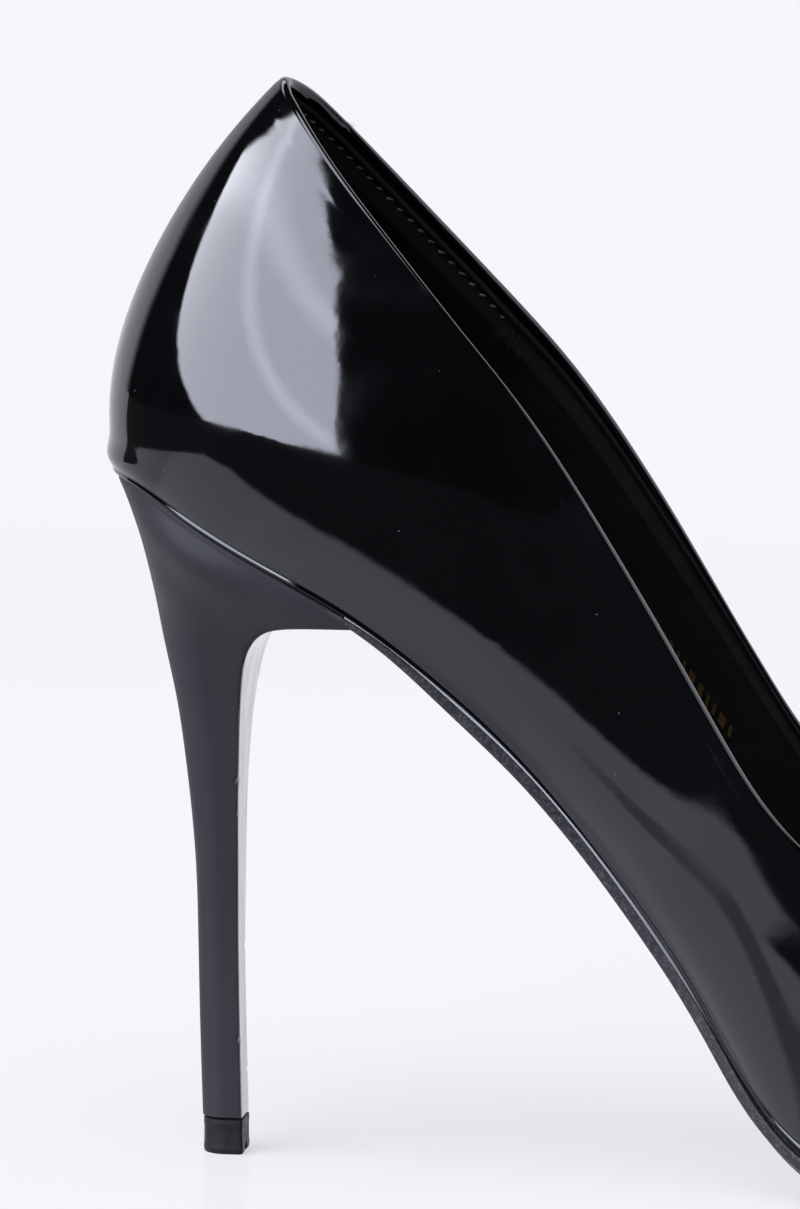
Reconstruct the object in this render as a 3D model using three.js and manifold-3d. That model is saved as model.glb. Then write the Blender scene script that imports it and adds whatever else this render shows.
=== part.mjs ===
// A stiletto court shoe (pump), right foot, in millimetres.
// Working frame: origin under the middle of the heel tip, +X towards the toe, +Y to the inner side
// of the foot, +Z up. The finished group is shifted so that its origin is at the middle of its base.
import * as THREE from 'three';
import { mergeVertices } from 'three/addons/utils/BufferGeometryUtils.js';
import ManifoldModule from 'manifold-3d';

const wasm = await ManifoldModule();
wasm.setup();

// ---------------------------------------------------------------- driving dimensions
const GAP = 0.3;                 // space kept between touching pieces
const TOE_X = 214;               // toe tip
const SEAT_BACK_X = -15.7;       // back of the heel seat
const FLAT_START_X = 108;        // the sole lies flat on the ground from here ...
const FLAT_END_X = 150;          // ... to here, then the toe springs up
const TOE_SPRING = 6;            // rise of the sole edge at the toe tip
const FEATHER_HEIGHT = 3;        // height of the upper's lower edge over the ground at the ball
const TOE_CLOSING_X = 145;       // ahead of here the wall closes over the inner sheets
const TOE_SWING = 4;             // the toe leans this far to the inner side of the foot
const SWING_START_X = 85;

const UPPER_THICK = 1.1;
const MARGIN_WIDTH = 13;         // lasting margin turned in under the insole
const STIFFENER = { outer: 1.5, inner: 2.25 };   // depths below the outer surface
const LINING = { outer: 2.75, inner: 3.35 };
const STRIP = { outer: 3.6, inner: 4.2 };
const TAPE_WIDTH = 4;            // topline tape
const TAPE_EDGE = 1.2;           // its distance from the topline
const LINING_EDGE = 0.8;         // distance of the lining's edge from the topline
const BACK_STRIP = { reach: 0.028, low: 0.3, edge: 1.6 };   // columns each side, v, distance
const COUNTER_END = 0.175;       // column where the counter stops
const COUNTER_TOP = { back: 0.86, end: 0.3 };               // v of its upper edge
const QUARTER_END = 0.132;       // column where the quarter lining meets the vamp lining
const PUFF_START = 0.36;         // column where the toe puff starts
const PUFF_TOP = 0.42;           // v of its upper edge
const PUFF_LAP = 0.45;           // v where the interlining starts over the toe puff
const SEAM = 0.003;              // half the gap between two pieces that meet at a column

const MARGIN_TOP = 1;            // heights over the feather line, measured square to the sole
const BOARD = { low: 1.45, high: 2.8, inset: 2.3, toeInset: 1.6 };
const SHANK_BOARD = { low: 3.1, high: 4.5, inset: 3.2, end: 98 };
const PAD = { low: 4.8, high: 6.3, inset: 6, end: 33 };
const CUSHION = { low: 3.1, high: 6.3, inset: 4.6, toeInset: 5.4, start: 100 };
const SOCK = { thick: 0.8, inset: 4.1, toeInset: 6, dip: [34, 52], rise: [86, 100] };
const FILLER = { gap: 0.6, from: 99, to: 190 };
const SHANK = { start: 8.5, end: 94, halfWidth: 4.6, thick: 0.75, flute: 1.6, fluteRise: 0.25 };
const SOLE = { start: 23.8, endThick: 0.5, waistThick: 1.8, foreThick: 1.3, taperEnd: 46 };
const SOLE_EDGE = { stands: 0.5, bevel: 0.8, bevelTop: 0.45 };
const TREAD = { start: 77, endThick: 0.3, thick: 1.1, inset: 0.8 };

const HEEL_TIP_HEIGHT = 5.4;     // top piece
const HEEL_SEAT_FRONT_X = 23.3;
const HEEL_SEAT_INSET = 0.6;
const TIP_FOOT = { backX: -3.35, breastX: 3.05, half: 3.45 };
const TIP_NOTCH_RADIUS = 0.7;
const DOWEL = { x: -0.35, outer: 1.6, inner: 1.25, top: 66 };
const PIN = { radius: 0.95, low: 1.8, top: 17 };
// Fasteners stand square to the seat; heights are over the feather line.
const SCREW = { radius: 1.5, headRadius: 3.2, headLow: 3.4, headHigh: 4.4, point: -16, tip: 3 };
const SCREW_PLACE = [4.5, 0];
const NAIL = { radius: 0.8, headRadius: 1.7, headLow: 3.6, headHigh: 4.4, point: -7.5, tip: 1.5 };
const NAIL_PLACES = [[-4, 8], [-4, -8], [12, 10], [12, -10]];
const RIVET_PLACES = [17, 88];
const RIVET_RADIUS = 1.3;

const COLUMNS = 80;              // columns round the whole shoe

// ---------------------------------------------------------------- the outlines
// Side view of the feather line, where the upper meets the sole: x, z.
const FEATHER_SIDE = [
  [-20, 104.7], [-16, 104], [-10, 102.6], [-2, 98.4], [8, 93.1], [18, 87.9], [28, 81.8],
  [38, 73.4], [48, 63.9], [58, 52.15], [67, 39.9], [76, 26.4], [83, 15.5], [90, 8.2],
  [98, 4.2], [FLAT_START_X, FEATHER_HEIGHT], [FLAT_START_X + 10, FEATHER_HEIGHT],
];
// Plan of the feather line, one half: x, half width.
const FEATHER_PLAN = [
  [SEAT_BACK_X, 0], [-14.9, 5.8], [-12.4, 11.6], [-8, 16.5], [0, 21.4], [10, 24], [20, 24.8],
  [32, 24.3], [45, 22.8], [58, 21.6], [68, 21.4], [78, 22.8], [88, 26], [98, 30.2],
  [108, 33.8], [118, 35.6], [128, 35.4], [140, 33.2], [155, 28.6], [170, 23.2], [185, 17.6],
  [198, 12.6], [207, 8.8], [212.3, 4.9], [TOE_X, 0],
];
// Columns of the upper. Each rises from the feather line at x to a point of the topline,
// and leaves and arrives along the two given directions (x, half width, z).
const UPPER_COLUMNS = [
  { x: -15.7, top: [8.8, 0, 162.8], rise: [-6.1, 0, 16.1], arrive: [16.4, 0, 15.7] },
  { x: -14.5, top: [10.5, 5.2, 161.4], rise: [-5.6, 2.4, 16.5], arrive: [14.8, -3.2, 15.8] },
  { x: -10, top: [13.8, 10.4, 157.8], rise: [-4, 5.2, 18], arrive: [11, -6, 15.8] },
  { x: -2, top: [19.2, 15.3, 151.4], rise: [-1.9, 7.2, 20], arrive: [7, -7.4, 15.6] },
  { x: 9, top: [28, 19.4, 141.3], rise: [-0.6, 8, 20], arrive: [4.2, -6.6, 15.4] },
  { x: 22, top: [38.6, 23.4, 129.2], rise: [0, 7.2, 18], arrive: [3, -4.2, 15] },
  { x: 35, top: [49.4, 26.8, 116.4], rise: [0, 6.8, 14.5], arrive: [2.2, -1.2, 15] },
  { x: 48, top: [60, 29, 100.7], rise: [0, 7.2, 12], arrive: [1.5, 0.8, 15] },
  { x: 61, top: [69.8, 30, 84.5], rise: [0, 7.8, 11], arrive: [0.8, 1.5, 14.5] },
  { x: 74, top: [78.6, 30.9, 69.6], rise: [0, 7.2, 11], arrive: [0, 0.8, 14] },
  { x: 86, top: [87, 31.8, 57.8], rise: [0.3, 5.6, 12], arrive: [-0.6, -0.2, 13.6] },
  { x: 97, top: [95.2, 32, 50.6], rise: [0.6, 3.8, 13.2], arrive: [-1.2, -1.8, 12.8] },
  { x: 108, top: [103.4, 30.8, 46.6], rise: [0.9, 2.7, 13.5], arrive: [-2, -4.8, 11.6] },
  { x: 120, top: [111, 27.8, 44.4], rise: [1.2, 2, 13.2], arrive: [-3.4, -8.2, 8.8] },
  { x: 134, top: [117.4, 23, 43.2], rise: [1.6, 1.6, 12.6], arrive: [-6.3, -10.2, 6.1] },
  { x: 150, top: [122.4, 17.2, 42.6], rise: [1.9, 1.4, 12.2], arrive: [-11.5, -10, 4.6] },
  { x: 168, top: [126, 11.2, 42.4], rise: [1.9, 1.2, 12], arrive: [-19.5, -7.6, 5.7] },
  { x: 184, top: [127.5, 7, 42.3], rise: [1.8, 1, 11.9], arrive: [-26.5, -5.2, 8] },
  { x: 197, top: [128.2, 4, 42.2], rise: [1.7, 0.8, 11.8], arrive: [-32, -3.2, 10.2] },
  { x: 207, top: [128.4, 1.8, 42.2], rise: [1.5, 0.5, 11.7], arrive: [-35, -1.5, 11.5] },
  { x: TOE_X, top: [128.5, 0, 42.2], rise: [1.4, 0, 11.6], arrive: [-36, 0, 12] },
];
// Levels of the heel block from its tip upwards. Each is a D: round at the back, flat at the
// breast. Heights at the back and at the breast, x of both, half width.
const HEEL_LOW = HEEL_TIP_HEIGHT + GAP;
const HEEL_LEVELS = [
  { backZ: HEEL_LOW, breastZ: HEEL_LOW, backX: -3.4, breastX: 2.95, half: 3.45 },
  { backZ: 20, breastZ: 20, backX: -3.75, breastX: 2.65, half: 3.35 },
  { backZ: 34, breastZ: 34, backX: -4.05, breastX: 2.5, half: 3.45 },
  { backZ: 45, breastZ: 45, backX: -4.4, breastX: 2.6, half: 4 },
  { backZ: 55, breastZ: 54, backX: -5.2, breastX: 2.7, half: 4.6 },
  { backZ: 63, breastZ: 60.5, backX: -6.15, breastX: 2.95, half: 5.4 },
  { backZ: 71, breastZ: 67, backX: -7.4, breastX: 3.35, half: 6.9 },
  { backZ: 78, breastZ: 71.8, backX: -8.8, breastX: 3.9, half: 8.8 },
  { backZ: 84, breastZ: 76, backX: -10, breastX: 4.7, half: 11 },
  { backZ: 90, breastZ: 79.6, backX: -11.3, breastX: 6.4, half: 14.4 },
  { backZ: 95, breastZ: 82, backX: -12.6, breastX: 9.2, half: 18 },
  { backZ: 99.4, breastZ: 83.2, backX: -13.9, breastX: 14.5, half: 21.8 },
];

// ---------------------------------------------------------------- small helpers
const lerp = THREE.MathUtils.lerp;
const smoothstep = THREE.MathUtils.smoothstep;

// A smooth curve through the points of a half outline and of its mirror image, as a closed loop.
function mirroredLoop(half) {
  const points = half.map((p) => new THREE.Vector3(...p));
  const mirrored = half.slice(1, -1).reverse().map(([x, y, z]) => new THREE.Vector3(x, -y, z));
  return new THREE.CatmullRomCurve3([...points, ...mirrored], true, 'centripetal');
}

// y on a polyline of [x, y] pairs that runs forward in x.
function valueAt(line, x) {
  if (x <= line[0][0]) return line[0][1];
  for (let i = 1; i < line.length; i += 1) {
    const [x0, y0] = line[i - 1];
    const [x1, y1] = line[i];
    if (x <= x1) return x1 > x0 ? lerp(y0, y1, (x - x0) / (x1 - x0)) : y1;
  }
  return line[line.length - 1][1];
}

function bisect(low, high, isAbove) {
  let a = low;
  let b = high;
  for (let i = 0; i < 30; i += 1) {
    const middle = (a + b) / 2;
    if (isAbove(middle)) b = middle;
    else a = middle;
  }
  return (a + b) / 2;
}

// ---------------------------------------------------------------- the feather line
const sideCurve = new THREE.CatmullRomCurve3(
  FEATHER_SIDE.map(([x, z]) => new THREE.Vector3(x, z, 0)), false, 'centripetal');
const SIDE_LINE = sideCurve.getPoints(300).map((p) => [p.x, p.y]);

function featherZ(x) {
  if (x < FLAT_START_X) return Math.max(FEATHER_HEIGHT, valueAt(SIDE_LINE, x));
  if (x < FLAT_END_X) return FEATHER_HEIGHT;
  return FEATHER_HEIGHT + TOE_SPRING * ((x - FLAT_END_X) / (TOE_X - FLAT_END_X)) ** 2;
}

// Height of a sheet that lies `over` the feather line, measured square to the sole.
function levelZ(x, over) {
  const step = 1.5;
  const slope = (featherZ(x + step) - featherZ(x - step)) / (2 * step);
  return featherZ(x) + over * Math.hypot(1, slope);
}

const planCurve = mirroredLoop(FEATHER_PLAN.map(([x, w]) => [x, w, 0]));
const PLAN_SAMPLES = 240;

// Half outline of the feather line moved in by inset(x), as [x, y] pairs from back to toe.
function outline(inset, fromX = -Infinity, toX = Infinity) {
  const line = [];
  for (let i = 0; i <= PLAN_SAMPLES; i += 1) {
    const t = i / PLAN_SAMPLES / 2;
    const p = planCurve.getPoint(t);
    const along = planCurve.getPoint(t + 1e-4).sub(planCurve.getPoint((t - 1e-4 + 1) % 1)).normalize();
    const d = inset(p.x);
    line.push([p.x + along.y * d, p.y - along.x * d]);
  }
  const kept = line.filter(([, y], i) => y > 0.02 || i === 0 || i === PLAN_SAMPLES);
  const inside = kept.filter(([x]) => x > fromX && x < toX);
  const ends = [];
  if (fromX > kept[0][0]) ends.push([fromX, valueAt(kept, fromX)]);
  const last = toX < kept[kept.length - 1][0] ? [[toX, valueAt(kept, toX)]] : [];
  return forwardOnly([...ends, ...inside, ...last]);
}

// Drops the points of an outline that would run back in x or that crowd together.
function forwardOnly(line) {
  const result = [line[0]];
  for (const point of line.slice(1)) {
    if (point[0] > result[result.length - 1][0] + 0.05) result.push(point);
  }
  return result;
}

// Keeps about `count` of an outline's points, denser where it is rounder.
function thin(line, count) {
  const weights = [0];
  for (let i = 1; i < line.length; i += 1) {
    const run = Math.hypot(line[i][0] - line[i - 1][0], line[i][1] - line[i - 1][1]);
    const nearEnd = Math.min(i, line.length - i) < line.length / 10 ? 2 : 1;
    weights.push(weights[i - 1] + run * nearEnd);
  }
  const total = weights[weights.length - 1];
  const result = [line[0]];
  for (let i = 1; i < line.length - 1; i += 1) {
    if (weights[i] >= (total * result.length) / count) result.push(line[i]);
  }
  result.push(line[line.length - 1]);
  return result;
}

// ---------------------------------------------------------------- the wall surface
const featherHalf = UPPER_COLUMNS.map(({ x }) => [x, valueAt(outline(() => 0), x), featherZ(x)]);
featherHalf[0][1] = 0;
featherHalf[featherHalf.length - 1][1] = 0;
const add = (p, q, sign) => p.map((value, i) => value + sign * q[i]);
const rails = [
  mirroredLoop(featherHalf),
  mirroredLoop(UPPER_COLUMNS.map((c, i) => add(featherHalf[i], c.rise, 1))),
  mirroredLoop(UPPER_COLUMNS.map((c) => add(c.top, c.arrive, -1))),
  mirroredLoop(UPPER_COLUMNS.map((c) => c.top)),
];

// u runs round the shoe from the back (0) past the inner side and the toe (0.5) to the back (1);
// v runs up each column from the feather line (0) to the topline (1).
function surface(u, v) {
  const t = ((u % 1) + 1) % 1;
  const [a, b, c, d] = rails.map((rail) => rail.getPoint(t));
  return new THREE.CubicBezierCurve3(a, b, c, d).getPoint(v);
}

function surfaceNormal(u, v) {
  const step = 2e-3;
  const alongU = surface(u + step, v).sub(surface(u - step, v));
  const low = Math.max(0, v - step);
  const high = Math.min(1, v + step);
  const alongV = surface(u, high).sub(surface(u, low));
  return alongV.cross(alongU).normalize();
}

function wallPoint(u, v, depth) {
  return surface(u, v).addScaledVector(surfaceNormal(u, v), -depth);
}

// v where a column passes a sheet lying `over` the feather line, plus a little more height.
function vOver(u, over, more) {
  return bisect(0, 0.6, (v) => {
    const p = surface(u, v);
    return p.z > levelZ(p.x, over) + more;
  });
}

// v at a distance below the topline.
function vBelow(u, distance) {
  const top = surface(u, 1);
  return bisect(0.3, 1, (v) => surface(u, v).distanceTo(top) < distance);
}

// ---------------------------------------------------------------- mesh building
// A closed mesh from rows of points. Rows join to the next one and close on themselves.
function meshFromRings(rings, closeRows) {
  const perRing = rings[0].length;
  const positions = rings.flat().flatMap((p) => [p.x, p.y, p.z]);
  const faces = [];
  const rows = closeRows ? rings.length : rings.length - 1;
  for (let r = 0; r < rows; r += 1) {
    const next = (r + 1) % rings.length;
    for (let i = 0; i < perRing; i += 1) {
      const j = (i + 1) % perRing;
      const a = r * perRing + i;
      const b = r * perRing + j;
      const c = next * perRing + j;
      const d = next * perRing + i;
      faces.push([a, b, c], [a, c, d]);
    }
  }
  if (!closeRows) {
    for (let i = 1; i < perRing - 1; i += 1) {
      faces.push([0, i + 1, i]);
      const last = (rings.length - 1) * perRing;
      faces.push([last, last + i, last + i + 1]);
    }
  }
  return closedGeometry(positions, faces);
}

// Merges equal vertices, drops empty triangles and turns the faces outward.
function closedGeometry(positions, faces) {
  const raw = new THREE.BufferGeometry();
  raw.setAttribute('position', new THREE.Float32BufferAttribute(positions, 3));
  raw.setIndex(faces.flat());
  const merged = mergeVertices(raw, 1e-3);
  const index = merged.index.array;
  const kept = [];
  for (let i = 0; i < index.length; i += 3) {
    const [a, b, c] = [index[i], index[i + 1], index[i + 2]];
    if (a !== b && b !== c && a !== c) kept.push(a, b, c);
  }
  if (signedVolume(merged, kept) < 0) {
    for (let i = 0; i < kept.length; i += 3) [kept[i], kept[i + 1]] = [kept[i + 1], kept[i]];
  }
  merged.setIndex(kept);
  return merged;
}

function signedVolume(geometry, index) {
  const p = geometry.attributes.position;
  const a = new THREE.Vector3();
  const b = new THREE.Vector3();
  const c = new THREE.Vector3();
  let volume = 0;
  for (let i = 0; i < index.length; i += 3) {
    a.fromBufferAttribute(p, index[i]);
    b.fromBufferAttribute(p, index[i + 1]);
    c.fromBufferAttribute(p, index[i + 2]);
    volume += a.dot(b.cross(c)) / 6;
  }
  return volume;
}

function toManifold(geometry) {
  const clean = geometry.clone();
  clean.deleteAttribute('normal');
  clean.deleteAttribute('uv');
  const merged = mergeVertices(clean, 1e-4);
  return new wasm.Manifold(new wasm.Mesh({
    numProp: 3,
    vertProperties: new Float32Array(merged.attributes.position.array),
    triVerts: new Uint32Array(merged.index.array),
  }));
}

function fromManifold(solid) {
  const mesh = solid.getMesh();
  const geometry = new THREE.BufferGeometry();
  geometry.setAttribute('position', new THREE.Float32BufferAttribute(mesh.vertProperties, 3));
  geometry.setIndex(new THREE.Uint32BufferAttribute(mesh.triVerts, 1));
  return geometry;
}

function cut(geometry, tools) {
  const solid = tools.reduce((left, tool) => left.subtract(toManifold(tool)), toManifold(geometry));
  return fromManifold(solid);
}

// ---------------------------------------------------------------- shapes used by several pieces
// A sheet between two heights over the feather line, inside a half outline.
function sheet(line, lowZ, highZ) {
  const rings = line.map(([x, y]) => [
    new THREE.Vector3(x, -y, lowZ(x)), new THREE.Vector3(x, y, lowZ(x)),
    new THREE.Vector3(x, y, highZ(x)), new THREE.Vector3(x, -y, highZ(x)),
  ]);
  return meshFromRings(rings, false);
}

// A patch of the wall between two depths, from column u0 to u1 and from vLow(u) to vHigh(u).
function wallPatch(u0, u1, columns, rows, vLow, vHigh, depths) {
  const rings = [];
  for (let i = 0; i <= columns; i += 1) {
    const u = lerp(u0, u1, i / columns);
    const low = vLow(u);
    const high = vHigh(u);
    const ring = [];
    const at = (k, depth) => wallPoint(u, lerp(low, high, k / rows), depth);
    for (let k = 0; k <= rows; k += 1) ring.push(at(k, depths.outer));
    for (let k = rows; k >= 0; k -= 1) ring.push(at(k, depths.inner));
    rings.push(ring);
  }
  return patchMesh(rings, rows);
}

// Like meshFromRings with open ends, but its two end faces are strips between outer and inner rows.
function patchMesh(rings, rows) {
  const perRing = rings[0].length;
  const positions = rings.flat().flatMap((p) => [p.x, p.y, p.z]);
  const faces = [];
  for (let r = 0; r < rings.length - 1; r += 1) {
    for (let i = 0; i < perRing; i += 1) {
      const j = (i + 1) % perRing;
      const a = r * perRing + i;
      const b = r * perRing + j;
      faces.push([a, b, b + perRing], [a, b + perRing, a + perRing]);
    }
  }
  for (const [start, flip] of [[0, true], [(rings.length - 1) * perRing, false]]) {
    for (let k = 0; k < rows; k += 1) {
      const outer = start + k;
      const inner = start + perRing - 1 - k;
      const quad = [[outer, outer + 1, inner - 1], [outer, inner - 1, inner]];
      quad.forEach(([a, b, c]) => faces.push(flip ? [a, c, b] : [a, b, c]));
    }
  }
  return closedGeometry(positions, faces);
}

// A turned pin from a profile of [radius, height] pairs, standing on its own Z axis.
function turned(profile, segments = 16) {
  const closed = profile.map(([radius, height]) => new THREE.Vector2(radius, height));
  const geometry = new THREE.LatheGeometry(closed, segments);
  geometry.rotateX(Math.PI / 2);
  const index = Array.from(geometry.index.array);
  const faces = [];
  for (let i = 0; i < index.length; i += 3) faces.push(index.slice(i, i + 3));
  return closedGeometry(Array.from(geometry.attributes.position.array), faces);
}

function cylinder(radius, low, high, x, y = 0, segments = 16) {
  const pin = turned([[0, low], [radius, low], [radius, high], [0, high]], segments);
  return pin.translate(x, y, 0);
}

// ---------------------------------------------------------------- upper and its layers
// Width of the lasting margin, narrower where the shoe is narrow or tightly rounded.
function marginLine() {
  const line = [];
  for (let i = 0; i < COLUMNS; i += 1) {
    const u = i / COLUMNS;
    const foot = surface(u, 0);
    const ahead = surface(u + 1e-3, 0);
    const behind = surface(u - 1e-3, 0);
    const along = ahead.sub(behind).setZ(0).normalize();
    const inward = new THREE.Vector2(along.y, -along.x);
    if (Math.abs(foot.y) > 0.01 && inward.y * foot.y > 0) inward.negate();
    if (Math.abs(foot.y) <= 0.01) inward.set(foot.x > 0 ? -1 : 1, 0);
    const reach = Math.abs(foot.y) > 0.5 ? Math.abs(foot.y / inward.y) : Infinity;
    line.push({ foot, inward, width: Math.min(MARGIN_WIDTH, 0.6 * reach) });
  }
  line.forEach((entry, i) => {
    if (Math.abs(entry.foot.y) <= 0.5) entry.width = line[(i + 1) % COLUMNS].width;
  });
  return line;
}

function marginPoint({ foot, inward }, inset, over) {
  const x = foot.x + inward.x * inset;
  const y = foot.y + inward.y * inset;
  return new THREE.Vector3(x, y, levelZ(x, over));
}

function upperGeometry() {
  const rows = 10;
  const margin = marginLine();
  const rings = margin.map((entry, i) => {
    const u = i / COLUMNS;
    const inside = vOver(u, MARGIN_TOP, 0.8);
    const ring = [];
    for (let k = 0; k <= rows; k += 1) ring.push(wallPoint(u, k / rows, 0));
    for (let k = rows; k >= 0; k -= 1) ring.push(wallPoint(u, lerp(inside, 1, k / rows), UPPER_THICK));
    const insets = [0, 0.33, 0.66, 1].map((share) => lerp(UPPER_THICK + 0.5, entry.width, share));
    insets.forEach((inset) => ring.push(marginPoint(entry, inset, MARGIN_TOP)));
    insets.reverse().slice(0, 3).forEach((inset) => ring.push(marginPoint(entry, inset, 0)));
    return ring;
  });
  return cut(meshFromRings(rings, true), seatRooms());
}

function stiffenerLow(u) {
  return vOver(u, BOARD.high, 1);
}

function liningLow(u) {
  return vOver(u, SHANK_BOARD.high, 0.8);
}

// 0 away from the toe, 1 at the toe tip.
function toeShare(u) {
  return smoothstep(0.5 - Math.abs(u - 0.5), PUFF_START - 0.05, PUFF_START - 0.012);
}

function counterGeometry() {
  const { back, end } = COUNTER_TOP;
  const top = (u) => lerp(back, end, smoothstep(Math.abs(u), 0.1, COUNTER_END));
  return wallPatch(-COUNTER_END, COUNTER_END, 28, 6, stiffenerLow, top, STIFFENER);
}

function toePuffGeometry() {
  return wallPatch(PUFF_START, 1 - PUFF_START, 22, 5, stiffenerLow, () => PUFF_TOP, STIFFENER);
}

function interliningGeometry() {
  const low = (u) => lerp(stiffenerLow(u), PUFF_LAP, toeShare(u));
  const high = (u) => vBelow(u, TAPE_EDGE + TAPE_WIDTH + 0.6);
  return wallPatch(COUNTER_END + SEAM, 1 - COUNTER_END - SEAM, 44, 6, low, high, STIFFENER);
}

function tapeGeometry() {
  const rings = [];
  for (let i = 0; i < COLUMNS; i += 1) {
    const u = i / COLUMNS;
    const high = vBelow(u, TAPE_EDGE);
    const low = vBelow(u, TAPE_EDGE + TAPE_WIDTH);
    rings.push([
      wallPoint(u, low, STIFFENER.outer), wallPoint(u, high, STIFFENER.outer),
      wallPoint(u, high, STIFFENER.inner), wallPoint(u, low, STIFFENER.inner),
    ]);
  }
  return meshFromRings(rings, true);
}

const liningTop = (u) => vBelow(u, LINING_EDGE);

function quarterLiningGeometry() {
  return wallPatch(-QUARTER_END, QUARTER_END, 30, 7, liningLow, liningTop, LINING);
}

function vampLiningGeometry() {
  return wallPatch(QUARTER_END + SEAM, 1 - QUARTER_END - SEAM, 44, 8, liningLow, liningTop, LINING);
}

function backStripGeometry() {
  const { reach, low, edge } = BACK_STRIP;
  return wallPatch(-reach, reach, 6, 7, () => low, (u) => vBelow(u, edge), STRIP);
}

// ---------------------------------------------------------------- bottom pieces
// More inset towards the toe, where the wall closes over the sheets.
const toeInset = (base, extra) => (x) => base + extra * smoothstep(x, TOE_CLOSING_X, TOE_X);

// Stands a piece built on the Z axis square to the sole at a place of the feather surface.
function squareToSole(geometry, x, y = 0) {
  const tilt = Math.atan2(featherZ(x - 1) - featherZ(x + 1), 2);
  return geometry.rotateY(tilt).translate(x, y, featherZ(x));
}

function fastener({ radius, headRadius, headLow, headHigh, point, tip }) {
  return turned([
    [0, point], [radius, point + tip], [radius, headLow],
    [headRadius, headLow], [headRadius, headHigh], [0, headHigh],
  ], 14);
}

// The room that a fastener needs in the pieces it goes through.
function fastenerRoom({ radius, headRadius, point }) {
  const step = (BOARD.high + SHANK_BOARD.low) / 2;
  const top = SHANK_BOARD.high + 2;
  return turned([
    [0, point - GAP], [radius + GAP, point - GAP], [radius + GAP, step],
    [headRadius + GAP, step], [headRadius + GAP, top], [0, top],
  ], 14);
}

function seatRooms() {
  return [
    squareToSole(fastenerRoom(SCREW), ...SCREW_PLACE),
    ...NAIL_PLACES.map((place) => squareToSole(fastenerRoom(NAIL), ...place)),
  ];
}

function rivetRooms() {
  return RIVET_PLACES.map((x) => squareToSole(cylinder(RIVET_RADIUS + GAP, -1, 4, 0), x));
}

function insoleBoardGeometry() {
  const line = thin(outline(toeInset(BOARD.inset, BOARD.toeInset)), 60);
  const board = sheet(line, (x) => levelZ(x, BOARD.low), (x) => levelZ(x, BOARD.high));
  return cut(board, [...seatRooms(), ...rivetRooms()]);
}

function shankBoardGeometry() {
  const line = thin(outline(() => SHANK_BOARD.inset, -Infinity, SHANK_BOARD.end), 44);
  const board = sheet(line, (x) => levelZ(x, SHANK_BOARD.low), (x) => levelZ(x, SHANK_BOARD.high));
  return cut(board, seatRooms());
}

// A steel strip with a flute pressed along its middle and round ends.
function steelShankGeometry() {
  const { start, end, halfWidth, thick, flute, fluteRise } = SHANK;
  const stations = 30;
  const rings = [];
  for (let i = 0; i <= stations; i += 1) {
    const x = lerp(start, end, i / stations);
    const fromEnd = Math.min(x - start, end - x);
    const half = halfWidth * Math.sqrt(Math.min(1, Math.max(0.06, fromEnd / halfWidth)));
    const across = [-half, -flute, 0, flute, half];
    const raised = (y) => (y === 0 ? fluteRise : 0);
    rings.push([
      ...across.map((y) => new THREE.Vector3(x, y, levelZ(x, raised(y)))),
      ...across.toReversed().map((y) => new THREE.Vector3(x, y, levelZ(x, thick + raised(y)))),
    ]);
  }
  return cut(meshFromRings(rings, false), rivetRooms());
}

function rivetGeometry(x) {
  return squareToSole(cylinder(RIVET_RADIUS, 0, BOARD.high - 0.1, 0), x);
}

function bottomFillerGeometry() {
  const edge = marginLine().slice(0, COLUMNS / 2 + 1)
    .map((entry) => marginPoint(entry, entry.width + FILLER.gap, 0))
    .filter((p) => p.x > FILLER.from && p.x < FILLER.to)
    .map((p) => [p.x, Math.max(0, p.y)]);
  const line = forwardOnly(edge);
  return sheet(line, (x) => levelZ(x, 0), (x) => levelZ(x, MARGIN_TOP - 0.05));
}

// The sock dips between the heel pad and the forefoot cushion.
function sockLevel(x) {
  const raised = PAD.high + GAP;
  const low = SHANK_BOARD.high + GAP;
  const share = 1 - smoothstep(x, ...SOCK.dip) + smoothstep(x, ...SOCK.rise);
  return lerp(low, raised, share);
}

function insockGeometry() {
  const line = thin(outline(toeInset(SOCK.inset, SOCK.toeInset)), 60);
  return sheet(line, (x) => levelZ(x, sockLevel(x)), (x) => levelZ(x, sockLevel(x) + SOCK.thick));
}

function heelPadGeometry() {
  const line = thin(outline(() => PAD.inset, -Infinity, PAD.end), 26);
  return sheet(line, (x) => levelZ(x, PAD.low), (x) => levelZ(x, PAD.high));
}

function forefootCushionGeometry() {
  const line = thin(outline(toeInset(CUSHION.inset, CUSHION.toeInset), CUSHION.start), 34);
  return sheet(line, (x) => levelZ(x, CUSHION.low), (x) => levelZ(x, CUSHION.high));
}

function soleThickness(x) {
  const { start, endThick, waistThick, foreThick, taperEnd } = SOLE;
  const rear = lerp(endThick, waistThick, smoothstep(x, start - 8, taperEnd));
  return lerp(rear, foreThick, smoothstep(x, TREAD.start - 12, TREAD.start));
}

function outsoleGeometry() {
  const { stands, bevel, bevelTop } = SOLE_EDGE;
  const line = thin(outline(() => -stands, SOLE.start), 56);
  const rings = line.map(([x, y]) => {
    const top = levelZ(x, -GAP);
    const bottom = levelZ(x, -GAP - soleThickness(x));
    const side = lerp(bottom, top, bevelTop);
    const flat = y - Math.min(bevel, y / 2);
    return [
      new THREE.Vector3(x, -flat, bottom), new THREE.Vector3(x, flat, bottom),
      new THREE.Vector3(x, y, side), new THREE.Vector3(x, y, top),
      new THREE.Vector3(x, -y, top), new THREE.Vector3(x, -y, side),
    ];
  });
  return meshFromRings(rings, false);
}

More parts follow.
